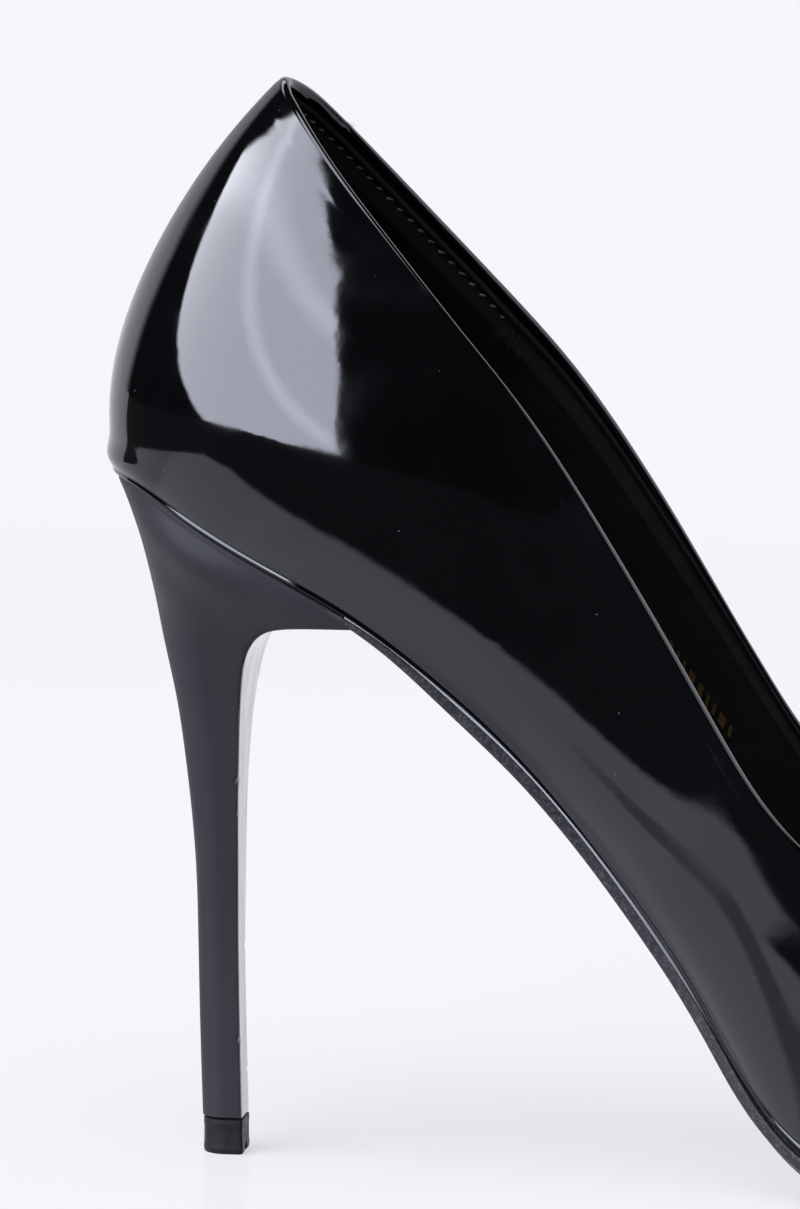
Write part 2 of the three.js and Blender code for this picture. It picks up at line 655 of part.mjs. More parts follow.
function forepartTreadGeometry() {
  const line = thin(outline(() => TREAD.inset, TREAD.start), 44);
  const top = -GAP - SOLE.foreThick - GAP;
  const rise = (x) => smoothstep(x, TREAD.start - 4, TREAD.start + 6);
  const thick = (x) => lerp(TREAD.endThick, TREAD.thick, rise(x));
  return sheet(line, (x) => levelZ(x, top - thick(x)), (x) => levelZ(x, top));
}

// ---------------------------------------------------------------- heel
// A unit D: x from 0 (back) to 1 (breast), y from -1 to 1.
function unitD() {
  const noseShare = 0.58;
  const nose = [];
  const steps = 16;
  for (let i = 0; i <= steps; i += 1) {
    const angle = lerp(-Math.PI / 2, Math.PI / 2, i / steps);
    nose.push([noseShare * (1 - Math.cos(angle)), Math.sin(angle)]);
  }
  const flank = [0.72, 0.86, 1];
  return [
    ...nose, ...flank.map((x) => [x, 1]), [1, 0.5], [1, 0], [1, -0.5],
    ...flank.toReversed().map((x) => [x, -1]),
  ];
}

function heelLoop({ backZ, breastZ, backX, breastX, half }) {
  return unitD().map(([x, y]) => new THREE.Vector3(
    lerp(backX, breastX, x), half * y, lerp(backZ, breastZ, x)));
}

function heelSeatLoop(over) {
  const edge = outline(() => HEEL_SEAT_INSET);
  const back = edge[0][0];
  return unitD().map(([share, y]) => {
    const x = lerp(back, HEEL_SEAT_FRONT_X, share);
    const half = share > 0 ? valueAt(edge, x) : 0;
    const side = share === 1 ? y * half : Math.sign(y) * half;
    return new THREE.Vector3(x, side, levelZ(x, over));
  });
}

function heelBodyGeometry() {
  const loops = HEEL_LEVELS.map(heelLoop);
  loops.push(heelSeatLoop(-1.1), heelSeatLoop(-GAP));
  const block = meshFromRings(loops, false);
  const dowelHole = cylinder(DOWEL.outer + GAP, 0, DOWEL.top + GAP, DOWEL.x);
  return cut(block, [dowelHole, ...seatRooms()]);
}

function topPieceGeometry() {
  const level = (z) => heelLoop({ ...TIP_FOOT, backZ: z, breastZ: z });
  const block = meshFromRings([level(0), level(HEEL_TIP_HEIGHT)], false);
  const pinHole = cylinder(PIN.radius + GAP, PIN.low - GAP, HEEL_TIP_HEIGHT + 1, DOWEL.x);
  const notch = cylinder(TIP_NOTCH_RADIUS, -1, 2 * TIP_NOTCH_RADIUS, TIP_FOOT.breastX);
  return cut(block, [pinHole, notch]);
}

function dowelGeometry() {
  const low = HEEL_TIP_HEIGHT + 2 * GAP;
  const { inner, outer, top, x } = DOWEL;
  const tube = turned([[inner, low], [outer, low], [outer, top], [inner, top], [inner, low]]);
  return tube.translate(x, 0, 0);
}

// ---------------------------------------------------------------- materials
const material = (color, roughness, metalness = 0) => (
  new THREE.MeshStandardMaterial({ color, roughness, metalness }));
const PATENT = material('#07080a', 0.06);
const LINING_CLOTH = material('#0d0d10', 0.85);
const SOLE_RUBBER = material('#1f1f22', 0.6);
const HEEL_PLASTIC = material('#2c2c31', 0.3);
const TIP_PLASTIC = material('#1b1b1e', 0.55);
const FIBREBOARD = material('#7a5a3c', 0.85);
const STIFFENER_SHEET = material('#c9bfa8', 0.8);
const TAPE_CLOTH = material('#d8d4c8', 0.85);
const FOAM = material('#4a4a50', 0.9);
const FELT = material('#6a655e', 0.95);
const STEEL = material('#9a9da2', 0.35, 1);

// ---------------------------------------------------------------- assembly
// Leans the toe to the inner side of the foot.
function swing(geometry) {
  const position = geometry.attributes.position;
  for (let i = 0; i < position.count; i += 1) {
    const share = Math.max(0, (position.getX(i) - SWING_START_X) / (TOE_X - SWING_START_X));
    position.setY(i, position.getY(i) + TOE_SWING * share ** 2);
  }
  return geometry;
}

const PIECES = [
  ['upper', upperGeometry, PATENT],
  ['quarter_lining', quarterLiningGeometry, LINING_CLOTH],
  ['vamp_lining', vampLiningGeometry, LINING_CLOTH],
  ['back_strip', backStripGeometry, LINING_CLOTH],
  ['topline_tape', tapeGeometry, TAPE_CLOTH],
  ['heel_counter', counterGeometry, STIFFENER_SHEET],
  ['toe_puff', toePuffGeometry, STIFFENER_SHEET],
  ['vamp_interlining', interliningGeometry, TAPE_CLOTH],
  ['insole_board', insoleBoardGeometry, FIBREBOARD],
  ['shank_board', shankBoardGeometry, FIBREBOARD],
  ['steel_shank', steelShankGeometry, STEEL],
  ['bottom_filler', bottomFillerGeometry, FELT],
  ['insock', insockGeometry, LINING_CLOTH],
  ['heel_pad', heelPadGeometry, FOAM],
  ['forefoot_cushion', forefootCushionGeometry, FOAM],
  ['outsole', outsoleGeometry, SOLE_RUBBER],
  ['forepart_tread', forepartTreadGeometry, SOLE_RUBBER],
  ['heel_body', heelBodyGeometry, HEEL_PLASTIC],
  ['heel_dowel', dowelGeometry, STEEL],
  ['top_piece', topPieceGeometry, TIP_PLASTIC],
  ['top_piece_pin', () => cylinder(PIN.radius, PIN.low, PIN.top, DOWEL.x), STEEL],
  ['heel_screw', () => squareToSole(fastener(SCREW), ...SCREW_PLACE), STEEL],
  ...RIVET_PLACES.map((x, i) => [`shank_rivet_${i + 1}`, () => rivetGeometry(x), STEEL]),
  ...NAIL_PLACES.map((place, i) => [
    `heel_nail_${i + 1}`, () => squareToSole(fastener(NAIL), ...place), STEEL]),
];

const shoe = new THREE.Group();
for (const [name, build, look] of PIECES) {
  const mesh = new THREE.Mesh(swing(build()), look);
  mesh.name = name;
  shoe.add(mesh);
}

// The origin goes to the middle of the base.
const box = new THREE.Box3().setFromObject(shoe);
const middle = box.getCenter(new THREE.Vector3());
shoe.position.set(-middle.x, -middle.y, -box.min.z);

export default shoe;
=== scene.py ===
"""A black patent stiletto pump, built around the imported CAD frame.

Shapes are worked out in the shoe's own millimetres: x runs to the toe, y to the inner side of
the foot and z up, from an origin under the middle of the heel tip. `placed` turns them into the
frame's metres.
"""
import math

import bmesh
import bpy
import numpy as np
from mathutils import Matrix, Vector, noise


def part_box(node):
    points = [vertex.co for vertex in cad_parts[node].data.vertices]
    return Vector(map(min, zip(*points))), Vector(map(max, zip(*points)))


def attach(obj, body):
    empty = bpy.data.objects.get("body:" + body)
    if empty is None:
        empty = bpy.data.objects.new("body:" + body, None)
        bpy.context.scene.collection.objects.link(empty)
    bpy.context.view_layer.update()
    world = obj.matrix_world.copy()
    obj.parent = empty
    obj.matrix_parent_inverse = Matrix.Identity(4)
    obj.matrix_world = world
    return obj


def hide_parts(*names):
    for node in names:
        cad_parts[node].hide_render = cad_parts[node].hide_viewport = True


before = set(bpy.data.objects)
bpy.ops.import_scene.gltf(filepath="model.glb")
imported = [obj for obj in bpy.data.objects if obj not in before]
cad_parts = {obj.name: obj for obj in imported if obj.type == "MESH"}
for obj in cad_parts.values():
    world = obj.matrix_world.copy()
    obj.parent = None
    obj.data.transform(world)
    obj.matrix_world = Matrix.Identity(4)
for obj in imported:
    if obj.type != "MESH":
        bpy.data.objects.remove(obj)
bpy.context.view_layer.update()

# ------------------------------------------------------------------ driving dimensions, mm
MM = 0.001
TIP_BACK = 3.35                  # heel tip: its back edge and its half width, from the origin
TIP_HALF = 3.45
TOE_X = 214.0
FLAT_START_X = 108.0             # the sole lies flat from here ...
FLAT_END_X = 150.0               # ... to here, then the toe springs up
TOE_SPRING = 6.0
FEATHER_HEIGHT = 3.0
TOE_CLOSING_X = 145.0
TOE_SWING = 4.0                  # the toe leans to the inner side of the foot
SWING_START_X = 85.0

LEATHER = 1.1                    # thickness of the upper
RIM_RADIUS = 0.8                 # folded topline edge
FOLD_DEPTH = 2.3                 # the folded edge reaches this far down inside
FEATHER_RADIUS = 0.5             # rounding where the upper turns under
MARGIN_TOP = 1.0
MARGIN_WIDTH = (2.0, 6.0)        # least and most of the edge that is turned under
CLEARANCE = 0.8                  # the upper's inside and the linings end this far over the sheets below
LOOP_LENGTH = 480.0              # of the feather line, all the way round
BACK_GROWTH = 0.3                # the folded edge is this much thicker over the back seam ...
BACK_BUMP = (-0.03, 0.063)       # ... between these columns
BACK_LIFT = 0.65                 # the folded edge stands this much higher over the back seam ...
SIDE_LIFT = 0.62                 # ... and on the inner side, where it is level between the first
SIDE_COLUMNS = (0.06, 0.178, 0.215)    # two of these columns and has come down at the third
TAPE = {"top": 2.4, "bottom": 5.4, "outer": 1.25, "inner": 1.65}
LINING_TOP = 1.35                # lining edge, below the topline
LINING_THICK = 0.6
LINING_EDGE_DEPTH = 1.75         # the lining lies this deep at its edge ...
LINING_WALL_DEPTH = 2.75         # ... and this deep further down
STITCH_BELOW = 3.0               # lining stitches, below the topline
STITCH_PITCH = 2.3
STITCH_LENGTH = 1.75
STITCH_RADIUS = 0.2
FOIL_COLUMNS = (0.183, 0.214)    # foil bars on the inner quarter, and how far down they lie
FOIL_BELOW = 15.0
FOIL_HEIGHT = 1.8
FOIL_WIDTHS = (0.7, 0.7, 1.5, 0.7, 1.1, 0.7, 0.7, 1.5, 1.1, 0.7, 0.7, 1.5, 0.7)
STRIP_COLUMN = 0.028             # strip over the back seam: half its width, as a column
STRIP_ENDS = (1.5, 46.0)         # its ends, below the topline
STRIP_THICK = 0.62
# Creases that run down the lining beside the seam between the two linings: distance from the
# seam, lean, start and end below the topline, height.
CREASES = (
    (-1.2, 0.45, 3.4, 9.5, 0.12), (0.6, 0.25, 3.6, 8.0, 0.156), (1.7, 0.12, 4.2, 8.8, 0.144),
    (3.0, -0.1, 4.0, 7.4, 0.096), (5.5, -0.9, 5.6, 8.2, 0.072),
)

# Inside: four heights over the feather line, square to the sole, then the x of the straight
# ends of the two pads.
SHANK_BOARD_TOP = 4.5
PAD_TOP = 6.3
PAD_LOW = 4.8
CUSHION_LOW = 3.1
CUSHION_START = 100.0
HEEL_PAD_END = 33.0
HEEL_PAD_INSET = 6.0             # edge of each pad, inside the feather line
CUSHION_INSET = 5.0
SOCK_THICK = 0.8
SOCK_EDGE_LIFT = 0.9             # the sock's edge curls up against the lining
SOCK_DIP = ((34, 52), (86, 100))    # between these stretches of x it lies low, on the board
GAP = 0.3

SOLE_START = 19.5                # in x, just behind the breast's top edge
SOLE_THICK = {"start": 0.6, "waist": 1.8, "fore": 1.5, "taper_end": 46.0}
TREAD_START = 78.3
TREAD_FULL = 92.0
TREAD_THICK = 1.1
PLATE_TOP = -0.2                 # the sole's top, over the feather line
BALL_SWELL = (0.65, (68, 80), (88, 102))    # the sole is thicker here, rising and falling again
BEAD_START = SOLE_START + 2.5    # the polished bead along the waist, painted pale as a highlight
BEAD_FADE_START = 45.0           # its painted highlight fades from pale to dark between here and its end
BEAD_END = 86.0

HEEL_SEAT_FRONT_X = 23.3         # the breast's top edge
HEEL_NOSE = 0.58                 # the rounded share of the heel's length
HEEL_CORNERS = (0.35, 0.9)       # rounding of the breast's edges, low down and at the top
TIP_FRONT = 3.05
# The heel tip's side: height, and how far it stands out from its plan.
TIP_SIDE = (
    (0.0, -0.33), (0.06, -0.15), (0.2, -0.05), (0.5, 0.0), (1.2, -0.01), (2.6, -0.05), (4.2, -0.03),
    (4.9, 0.0), (5.2, -0.01), (5.33, -0.09), (5.38, -0.25),
)
# Small dents along the edges of the breast: height, side, depth, reach.
HEEL_NICKS = (
    (57.4, -1, 0.3, 0.55), (52.3, -1, 0.16, 0.4), (17.5, -1, 0.2, 0.5),
    (70.5, 1, 0.2, 0.5), (31.0, 1, 0.16, 0.6), (12.0, 1, 0.2, 0.35),
)
# The heel's top edge: height over the feather line and distance inside it.
HEEL_SEAT_EDGE = ((-1.0, 0.0), (-0.5, -0.06), (-0.25, -0.02), (-0.08, 0.16), (-0.02, 0.4), (-0.1, 1.2))

QUARTER_END = 0.132              # column where the quarter lining meets the vamp lining
COLUMN_COUNT = 40                # design columns round the whole shoe
MIRROR = np.array([1, -1, 1])    # turns the inner side of the foot into the outer one

# Side view of the feather line, where the upper meets the sole: x, z.
FEATHER_SIDE = [
    (-20, 104.7), (-16, 104), (-10, 102.6), (-2, 98.4), (8, 93.1), (18, 87.9), (28, 81.8),
    (38, 73.4), (48, 63.9), (58, 52.15), (67, 39.9), (76, 26.4), (83, 15.5), (90, 8.2),
    (98, 4.2), (108, 3), (118, 3),
]
# Columns of the upper, from the back round the inner side to the toe. Each rises from the feather
# line (x, half width) to a point of the topline (x, half width, z); `rise` and `arrive` are
# the directions that it leaves and arrives along.
UPPER_COLUMNS = [
    # foot           topline               rise                arrive
    ((-15.7, 0.0), (8.8, 0, 162.8), (-6.1, 0, 16.1), (16.4, 0, 15.7)),
    ((-14.5, 7.0), (10.5, 5.2, 161.4), (-5.6, 2.4, 16.5), (14.8, -3.2, 15.8)),
    ((-10, 14.65), (13.8, 10.4, 157.8), (-4, 5.2, 18), (11, -6, 15.8)),
    ((-2, 20.4), (19.2, 15.3, 151.4), (-1.9, 7.2, 20), (7, -7.4, 15.6)),
    ((9, 23.75), (28, 19.7, 141.3), (-0.6, 8, 20), (4.2, -6.6, 15.4)),
    ((22, 24.8), (38.6, 23.9, 129.2), (0, 7.2, 18), (3, -4.8, 15)),
    ((35, 24.0), (49.4, 26.6, 116.4), (0, 6.8, 14.5), (2.2, -2.4, 15)),
    ((48, 22.5), (60, 28.4, 100.7), (0, 7.2, 12), (1.5, -0.2, 15)),
    ((61, 21.4), (69.8, 29.6, 84.5), (0, 7.8, 11), (0.8, 1.0, 14.5)),
    ((74, 22.0), (78.6, 30.9, 69.6), (0, 7.2, 11), (0, 0.8, 14)),
    ((86, 25.3), (87, 31.8, 57.8), (0.3, 5.6, 12), (-0.6, -0.2, 13.6)),
    ((97, 29.8), (95.2, 32, 50.6), (0.6, 3.8, 13.2), (-1.2, -1.8, 12.8)),
    ((108, 33.8), (103.4, 30.8, 46.6), (0.9, 2.7, 13.5), (-2, -4.8, 11.6)),
    ((120, 35.7), (111, 27.8, 44.4), (1.2, 2, 13.2), (-3.4, -8.2, 8.8)),
    ((134, 34.5), (117.4, 23, 43.2), (1.6, 1.6, 12.6), (-6.3, -10.2, 6.1)),
    ((150, 30.3), (122.4, 17.2, 42.6), (1.9, 1.4, 12.2), (-11.5, -10, 4.6)),
    ((168, 23.9), (126, 11.2, 42.4), (1.9, 1.2, 12), (-19.5, -7.6, 5.7)),
    ((184, 18.0), (127.5, 7, 42.3), (1.8, 1, 11.9), (-26.5, -5.2, 8)),
    ((197, 13.0), (128.2, 4, 42.2), (1.7, 0.8, 11.8), (-32, -3.2, 10.2)),
    ((207, 8.8), (128.4, 1.8, 42.2), (1.5, 0.5, 11.7), (-35, -1.5, 11.5)),
    ((214, 0.0), (128.5, 0, 42.2), (1.4, 0, 11.6), (-36, 0, 12)),
]
# Levels of the heel block from its tip upwards: height at the back and at the breast, x of
# both, half width.
HEEL_LEVELS = [
    (5.7, 5.7, -3.5, 2.95, 3.45), (20, 20, -3.9, 2.65, 3.35), (34, 34, -4.15, 2.5, 3.45),
    (45, 45, -4.5, 2.6, 4.0), (55, 54, -5.35, 2.7, 4.6), (63, 60.5, -6.3, 2.95, 5.4),
    (71, 67, -7.55, 3.35, 6.9), (78, 71.8, -9.0, 3.9, 8.8), (84, 76, -10.1, 4.7, 11),
    (90, 79.6, -11.3, 6.4, 14.4), (95, 82, -12.5, 9.2, 18), (99.4, 83.2, -13.9, 14.5, 21.8),
]

ORIGIN = np.array(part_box("top_piece")[0]) + np.array([TIP_BACK, TIP_HALF, 0]) * MM


# ------------------------------------------------------------------ curves and small helpers
class Spline:
    """A curve of continuous curvature through values at knots; a closed one ends as it starts."""

    def __init__(self, knots, values, closed=False):
        self.knots = np.asarray(knots, float)
        self.values = np.asarray(values, float)
        gap = np.diff(self.knots)
        rise = np.diff(self.values, axis=0) / gap[:, None]
        count = len(self.knots)
        matrix = np.eye(count)
        right = np.zeros_like(self.values)
        for i in range(1, count - 1):
            matrix[i, i - 1:i + 2] = gap[i - 1], 2 * (gap[i - 1] + gap[i]), gap[i]
            right[i] = 6 * (rise[i] - rise[i - 1])
        if closed:
            matrix[0, :2] = 2 * (gap[-1] + gap[0]), gap[0]
            matrix[0, -2] = gap[-1]
            right[0] = 6 * (rise[0] - rise[-1])
            matrix[-1, 0] = -1
        self.bend = np.linalg.solve(matrix, right)

    def locate(self, t):
        t = np.asarray(t, float)
        i = np.clip(np.searchsorted(self.knots, t, side="right") - 1, 0, len(self.knots) - 2)
        gap = self.knots[i + 1] - self.knots[i]
        return i, gap[..., None], ((t - self.knots[i]) / gap)[..., None]

    def at(self, t):
        i, gap, b = self.locate(t)
        a = 1 - b
        bends = (a ** 3 - a) * self.bend[i] + (b ** 3 - b) * self.bend[i + 1]
        return a * self.values[i] + b * self.values[i + 1] + bends * gap ** 2 / 6

    def slope(self, t):
        i, gap, b = self.locate(t)
        a = 1 - b
        bends = (3 * b ** 2 - 1) * self.bend[i + 1] - (3 * a ** 2 - 1) * self.bend[i]
        return (self.values[i + 1] - self.values[i]) / gap + bends * gap / 6


def smoothstep(x, low, high):
    share = np.clip((np.asarray(x, float) - low) / (high - low), 0, 1)
    return share * share * (3 - 2 * share)


def blend(a, b, share):
    return a + (b - a) * share


def bell(x, middle, width):
    """1 at the middle, falling off smoothly to both sides."""
    return np.exp(-((x - middle) / width) ** 2)


def running(steps):
    """0, then the running total of the steps."""
    return np.concatenate([[0], np.cumsum(steps)])


def unit(v):
    return v / np.maximum(np.linalg.norm(v, axis=-1, keepdims=True), 1e-9)


def ripple(points, size, seed=0.0):
    """Smooth noise of about -1 to 1 at points in mm, with features of `size` mm."""
    flat = points.reshape(-1, 3) / size + seed
    values = np.array([noise.noise(Vector(p)) for p in flat])
    return values.reshape(points.shape[:-1])


def spaced(start, end, count, crowd=0.5):
    """Numbers from start to end, closer together near both ends."""
    even = np.linspace(0, 1, count)
    eased = 0.5 - 0.5 * np.cos(math.pi * even)
    return start + (end - start) * blend(even, eased, crowd)


# ------------------------------------------------------------------ the feather line
side_line = Spline([x for x, _ in FEATHER_SIDE], [[z] for _, z in FEATHER_SIDE])


def feather_z(x):
    """Height of the feather line at x."""
    rear = side_line.at(np.minimum(x, FLAT_START_X))[..., 0]
    spring = TOE_SPRING * (np.maximum(0, x - FLAT_END_X) / (TOE_X - FLAT_END_X)) ** 2
    return np.where(x < FLAT_START_X, np.maximum(rear, FEATHER_HEIGHT), FEATHER_HEIGHT + spring)


def level_z(x, over):
    """Height of a sheet that lies `over` the feather line, measured square to the sole."""
    step = 1.5
    slope = (feather_z(x + step) - feather_z(x - step)) / (2 * step)
    return feather_z(x) + over * np.hypot(1, slope)


# ------------------------------------------------------------------ the wall of the upper
def closed_rail(half):
    """A half outline, its mirror image and its first point again."""
    half = np.array(half, float)
    mirrored = half[-2:0:-1] * MIRROR
    return np.vstack([half, mirrored, half[:1]])


def make_rails():
    """The wall's four guide curves round the shoe, and the loop position of each column."""
    foot = np.array([[x, w, feather_z(np.float64(x))] for (x, w), *_ in UPPER_COLUMNS])
    top, rise, arrive = (np.array([c[k] for c in UPPER_COLUMNS], float) for k in (1, 2, 3))
    loops = [closed_rail(half) for half in (foot, foot + rise, top - arrive, top)]
    chords = np.mean([np.linalg.norm(np.diff(loop, axis=0), axis=1) for loop in loops], axis=0)
    knots = running(chords) / chords.sum()
    return knots, [Spline(knots, loop, closed=True) for loop in loops]


KNOTS, RAILS = make_rails()


def position(u):
    """Loop position of design column u: 0 at the back, 0.5 at the toe, inner side between."""
    turns = np.floor(u)
    return turns + np.interp(u - turns, np.arange(COLUMN_COUNT + 1) / COLUMN_COUNT, KNOTS)


def centred(t):
    """Loop position from -0.5 to 0.5, with 0 at the back seam."""
    return (t + 0.5) % 1 - 0.5


def from_back(t):
    """Distance from the back seam along the feather line, in mm."""
    return np.abs(centred(t)) * LOOP_LENGTH


def bezier(a, b, c, d, v):
    w = 1 - v
    return w ** 3 * a + 3 * w * w * v * b + 3 * w * v * v * c + v ** 3 * d


def surface(t, v):
    """Points of the wall at positions t (n) and heights v (n, m), with directions out and up."""
    t = np.asarray(t, float) % 1
    v = np.broadcast_to(v, (len(t), np.shape(v)[-1]))[..., None]
    a, b, c, d = (rail.at(t)[:, None, :] for rail in RAILS)
    along = bezier(*(rail.slope(t)[:, None, :] for rail in RAILS), v)
    w = 1 - v
    up = 3 * (w * w * (b - a) + 2 * w * v * (c - b) + v * v * (d - c))
    return bezier(a, b, c, d, v), unit(np.cross(up, along)), unit(up)


def wall(t, v, depth=0.0):
    """Points that lie `depth` inside the wall."""
    point, normal, _ = surface(t, v)
    return point - normal * np.broadcast_to(depth, point.shape[:2])[..., None]


FINE_V = np.linspace(0, 1, 241)


def column_lengths(t):
    """Distance below the topline at each of FINE_V, for every column."""
    path = surface(t, FINE_V[None, :])[0]
    steps = np.linalg.norm(np.diff(path, axis=1), axis=2)
    from_foot = np.concatenate([np.zeros((len(t), 1)), np.cumsum(steps, axis=1)], axis=1)
    return from_foot[:, -1:] - from_foot


def v_below(t, distance):
    """Heights v at distances (n, m) below the topline."""
    lengths = column_lengths(t)
    distance = np.broadcast_to(distance, (len(t), np.shape(distance)[-1]))
    rows = [np.interp(d, row[::-1], FINE_V[::-1]) for d, row in zip(distance, lengths)]
    return np.array(rows)


def v_through(t, sheet, depth=0.0):
    """Heights v (n, 1) where the wall, `depth` inside, comes up through a sheet z = sheet(x)."""
    low = np.zeros((len(t), 1))
    high = np.full((len(t), 1), 0.6)
    for _ in range(26):
        middle = (low + high) / 2
        point = wall(t, middle, depth)
        above = point[..., 2] > sheet(point[..., 0])
        high = np.where(above, middle, high)
        low = np.where(above, low, middle)
    return (low + high) / 2


def v_clear(t, over):
    """Heights v (n, 1) where the wall comes clear of a sheet `over` the feather line."""
    return v_through(t, lambda x: level_z(x, over) + CLEARANCE)


def foot_and_inward(t):
    """Feather points and the level direction from them into the shoe."""
    foot = RAILS[0].at(t % 1)
    along = RAILS[0].slope(t % 1)
    inward = unit(np.stack([along[:, 1], -along[:, 0]], axis=1))
    return foot, inward


def position_at(x):
    """Loop position on the inner side where the feather line reaches x."""
    fine = np.linspace(0, 0.5, 2000)
    return np.interp(x, RAILS[0].at(fine)[:, 0], fine)


# ------------------------------------------------------------------ meshes
def swing(points):
    """Bends the toe to the inner side of the foot."""
    share = np.maximum(0, (points[..., 0] - SWING_START_X) / (TOE_X - SWING_START_X))
    moved = points.copy()
    moved[..., 1] += TOE_SWING * share ** 2
    return moved


def placed(points):
    """Points in shoe mm, turned into the frame's metres."""
    return swing(np.asarray(points, float)) * MM + ORIGIN


def grid_faces(rings, per_ring, closed_rings=False):
    """Quads between closed rings of points, as rows of four indices."""
    r = np.arange(rings if closed_rings else rings - 1)
    r, i = (a.ravel() for a in np.meshgrid(r, np.arange(per_ring), indexing="ij"))
    j = (i + 1) % per_ring
    following = (r + 1) % rings
    return np.stack([
        r * per_ring + i, r * per_ring + j, following * per_ring + j, following * per_ring + i,
    ], axis=1)


def joined(parts):
    """Points and faces of several lofts together, each an (n, m, 3) array of closed rings."""
    points = []
    faces = []
    start = 0
    for rings in parts:
        count, per_ring = rings.shape[:2]
        faces += (grid_faces(count, per_ring) + start).tolist()
        faces.append([start + i for i in range(per_ring)][::-1])
        faces.append([start + (count - 1) * per_ring + i for i in range(per_ring)])
        points.append(rings.reshape(-1, 3))
        start += count * per_ring
    return np.concatenate(points), faces


def circle(middle, side, out, radius, count):
    """Points round a circle that two directions span."""
    angles = np.linspace(0, 2 * math.pi, count, endpoint=False)
    return [middle + (side * math.cos(a) + out * math.sin(a)) * radius for a in angles]


def new_object(name, data):
    made = bpy.data.objects.new(name, data)
    bpy.context.scene.collection.objects.link(made)
    return made


def make_piece(name, points, faces, material, sharp=None):
    """A mesh object from points in shoe mm; doubled points join and the faces turn outward."""
    mesh = bpy.data.meshes.new(name)
    mesh.from_pydata(placed(points).reshape(-1, 3).tolist(), [], [list(map(int, f)) for f in faces])
    shape = bmesh.new()
    shape.from_mesh(mesh)
    bmesh.ops.remove_doubles(shape, verts=shape.verts, dist=2e-6)
    bmesh.ops.dissolve_degenerate(shape, edges=shape.edges, dist=1e-7)
    bmesh.ops.recalc_face_normals(shape, faces=shape.faces)
    shape.to_mesh(mesh)
    shape.free()
    mesh.shade_smooth()
    if sharp:
        mesh.set_sharp_from_angle(angle=math.radians(sharp))
    mesh.materials.append(material)
    return new_object(name, mesh)


def loft(name, rings, material, closed_rings=False, sharp=None):
    """A piece from an (n, m, 3) array of closed rings, capped at both ends unless it closes."""
    if closed_rings:
        faces = grid_faces(*rings.shape[:2], closed_rings)
        return make_piece(name, rings, faces, material, sharp)
    return make_piece(name, *joined([rings]), material, sharp)


def shell(name, outer, inner, material, sharp=None):
    """A piece between an outer and an inner (n, m, 3) grid, with strips at its two ends."""
    rings = np.concatenate([outer, inner[:, ::-1]], axis=1)
    count, per_ring = rings.shape[:2]
    rows = outer.shape[1]
    faces = grid_faces(count, per_ring).tolist()
    for start in (0, (count - 1) * per_ring):
        for k in range(rows - 1):
            far = start + per_ring - 1 - k
            faces.append([start + k, start + k + 1, far - 1, far])
    return make_piece(name, rings, faces, material, sharp)


def finish_piece(piece, slot, *replaced):
    """Puts a piece on the shoe's one body and hides the CAD parts that it stands for; slot, its finish, is
    not used.
    """
    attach(piece, "root")
    if replaced:
        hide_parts(*replaced)


# ------------------------------------------------------------------ materials
class Nodes:
    """A node tree, with helpers that add nodes to it."""

    def __init__(self, tree):
        self.tree = tree

    def node(self, kind, **settings):
        made = self.tree.nodes.new(kind)
        for key, value in settings.items():
            setattr(made, key, value)
        return made

    def link(self, source, target):
        self.tree.links.new(source, target)

    def feed(self, value, socket):
        """Gives a socket a number or the output of another node."""
        if isinstance(value, float):
            socket.default_value = value
        else:
            self.link(value, socket)

    def maths(self, operation, first, second):
        made = self.node("ShaderNodeMath", operation=operation)
        self.feed(first, made.inputs[0])
        self.feed(second, made.inputs[1])
        return made.outputs["Value"]

    def product(self, first, second):
        return self.maths("MULTIPLY", first, second)

    def sum(self, first, second):
        return self.maths("ADD", first, second)

    def ramp(self, source, low, high, start=0.0, end=1.0):
        """Maps low..high of a value smoothly to start..end."""
        made = self.node("ShaderNodeMapRange", interpolation_type="SMOOTHSTEP")
        self.link(source, made.inputs["Value"])
        for label, value in (("From Min", low), ("From Max", high), ("To Min", start), ("To Max", end)):
            made.inputs[label].default_value = value
        return made.outputs["Result"]

    def past(self, source, level, soft):
        """0 below a level and 1 above it, with a soft edge."""
        return self.ramp(source, level - soft, level + soft)

    def short_of(self, source, level, soft):
        """1 below a level and 0 above it, with a soft edge."""
        return self.ramp(source, level - soft, level + soft, 1.0, 0.0)

    def layered(self, share, first, second):
        """One shader over another, by a number or a value."""
        made = self.node("ShaderNodeMixShader")
        self.feed(share, made.inputs["Fac"])
        self.link(first, made.inputs[1])
        self.link(second, made.inputs[2])
        return made.outputs["Shader"]


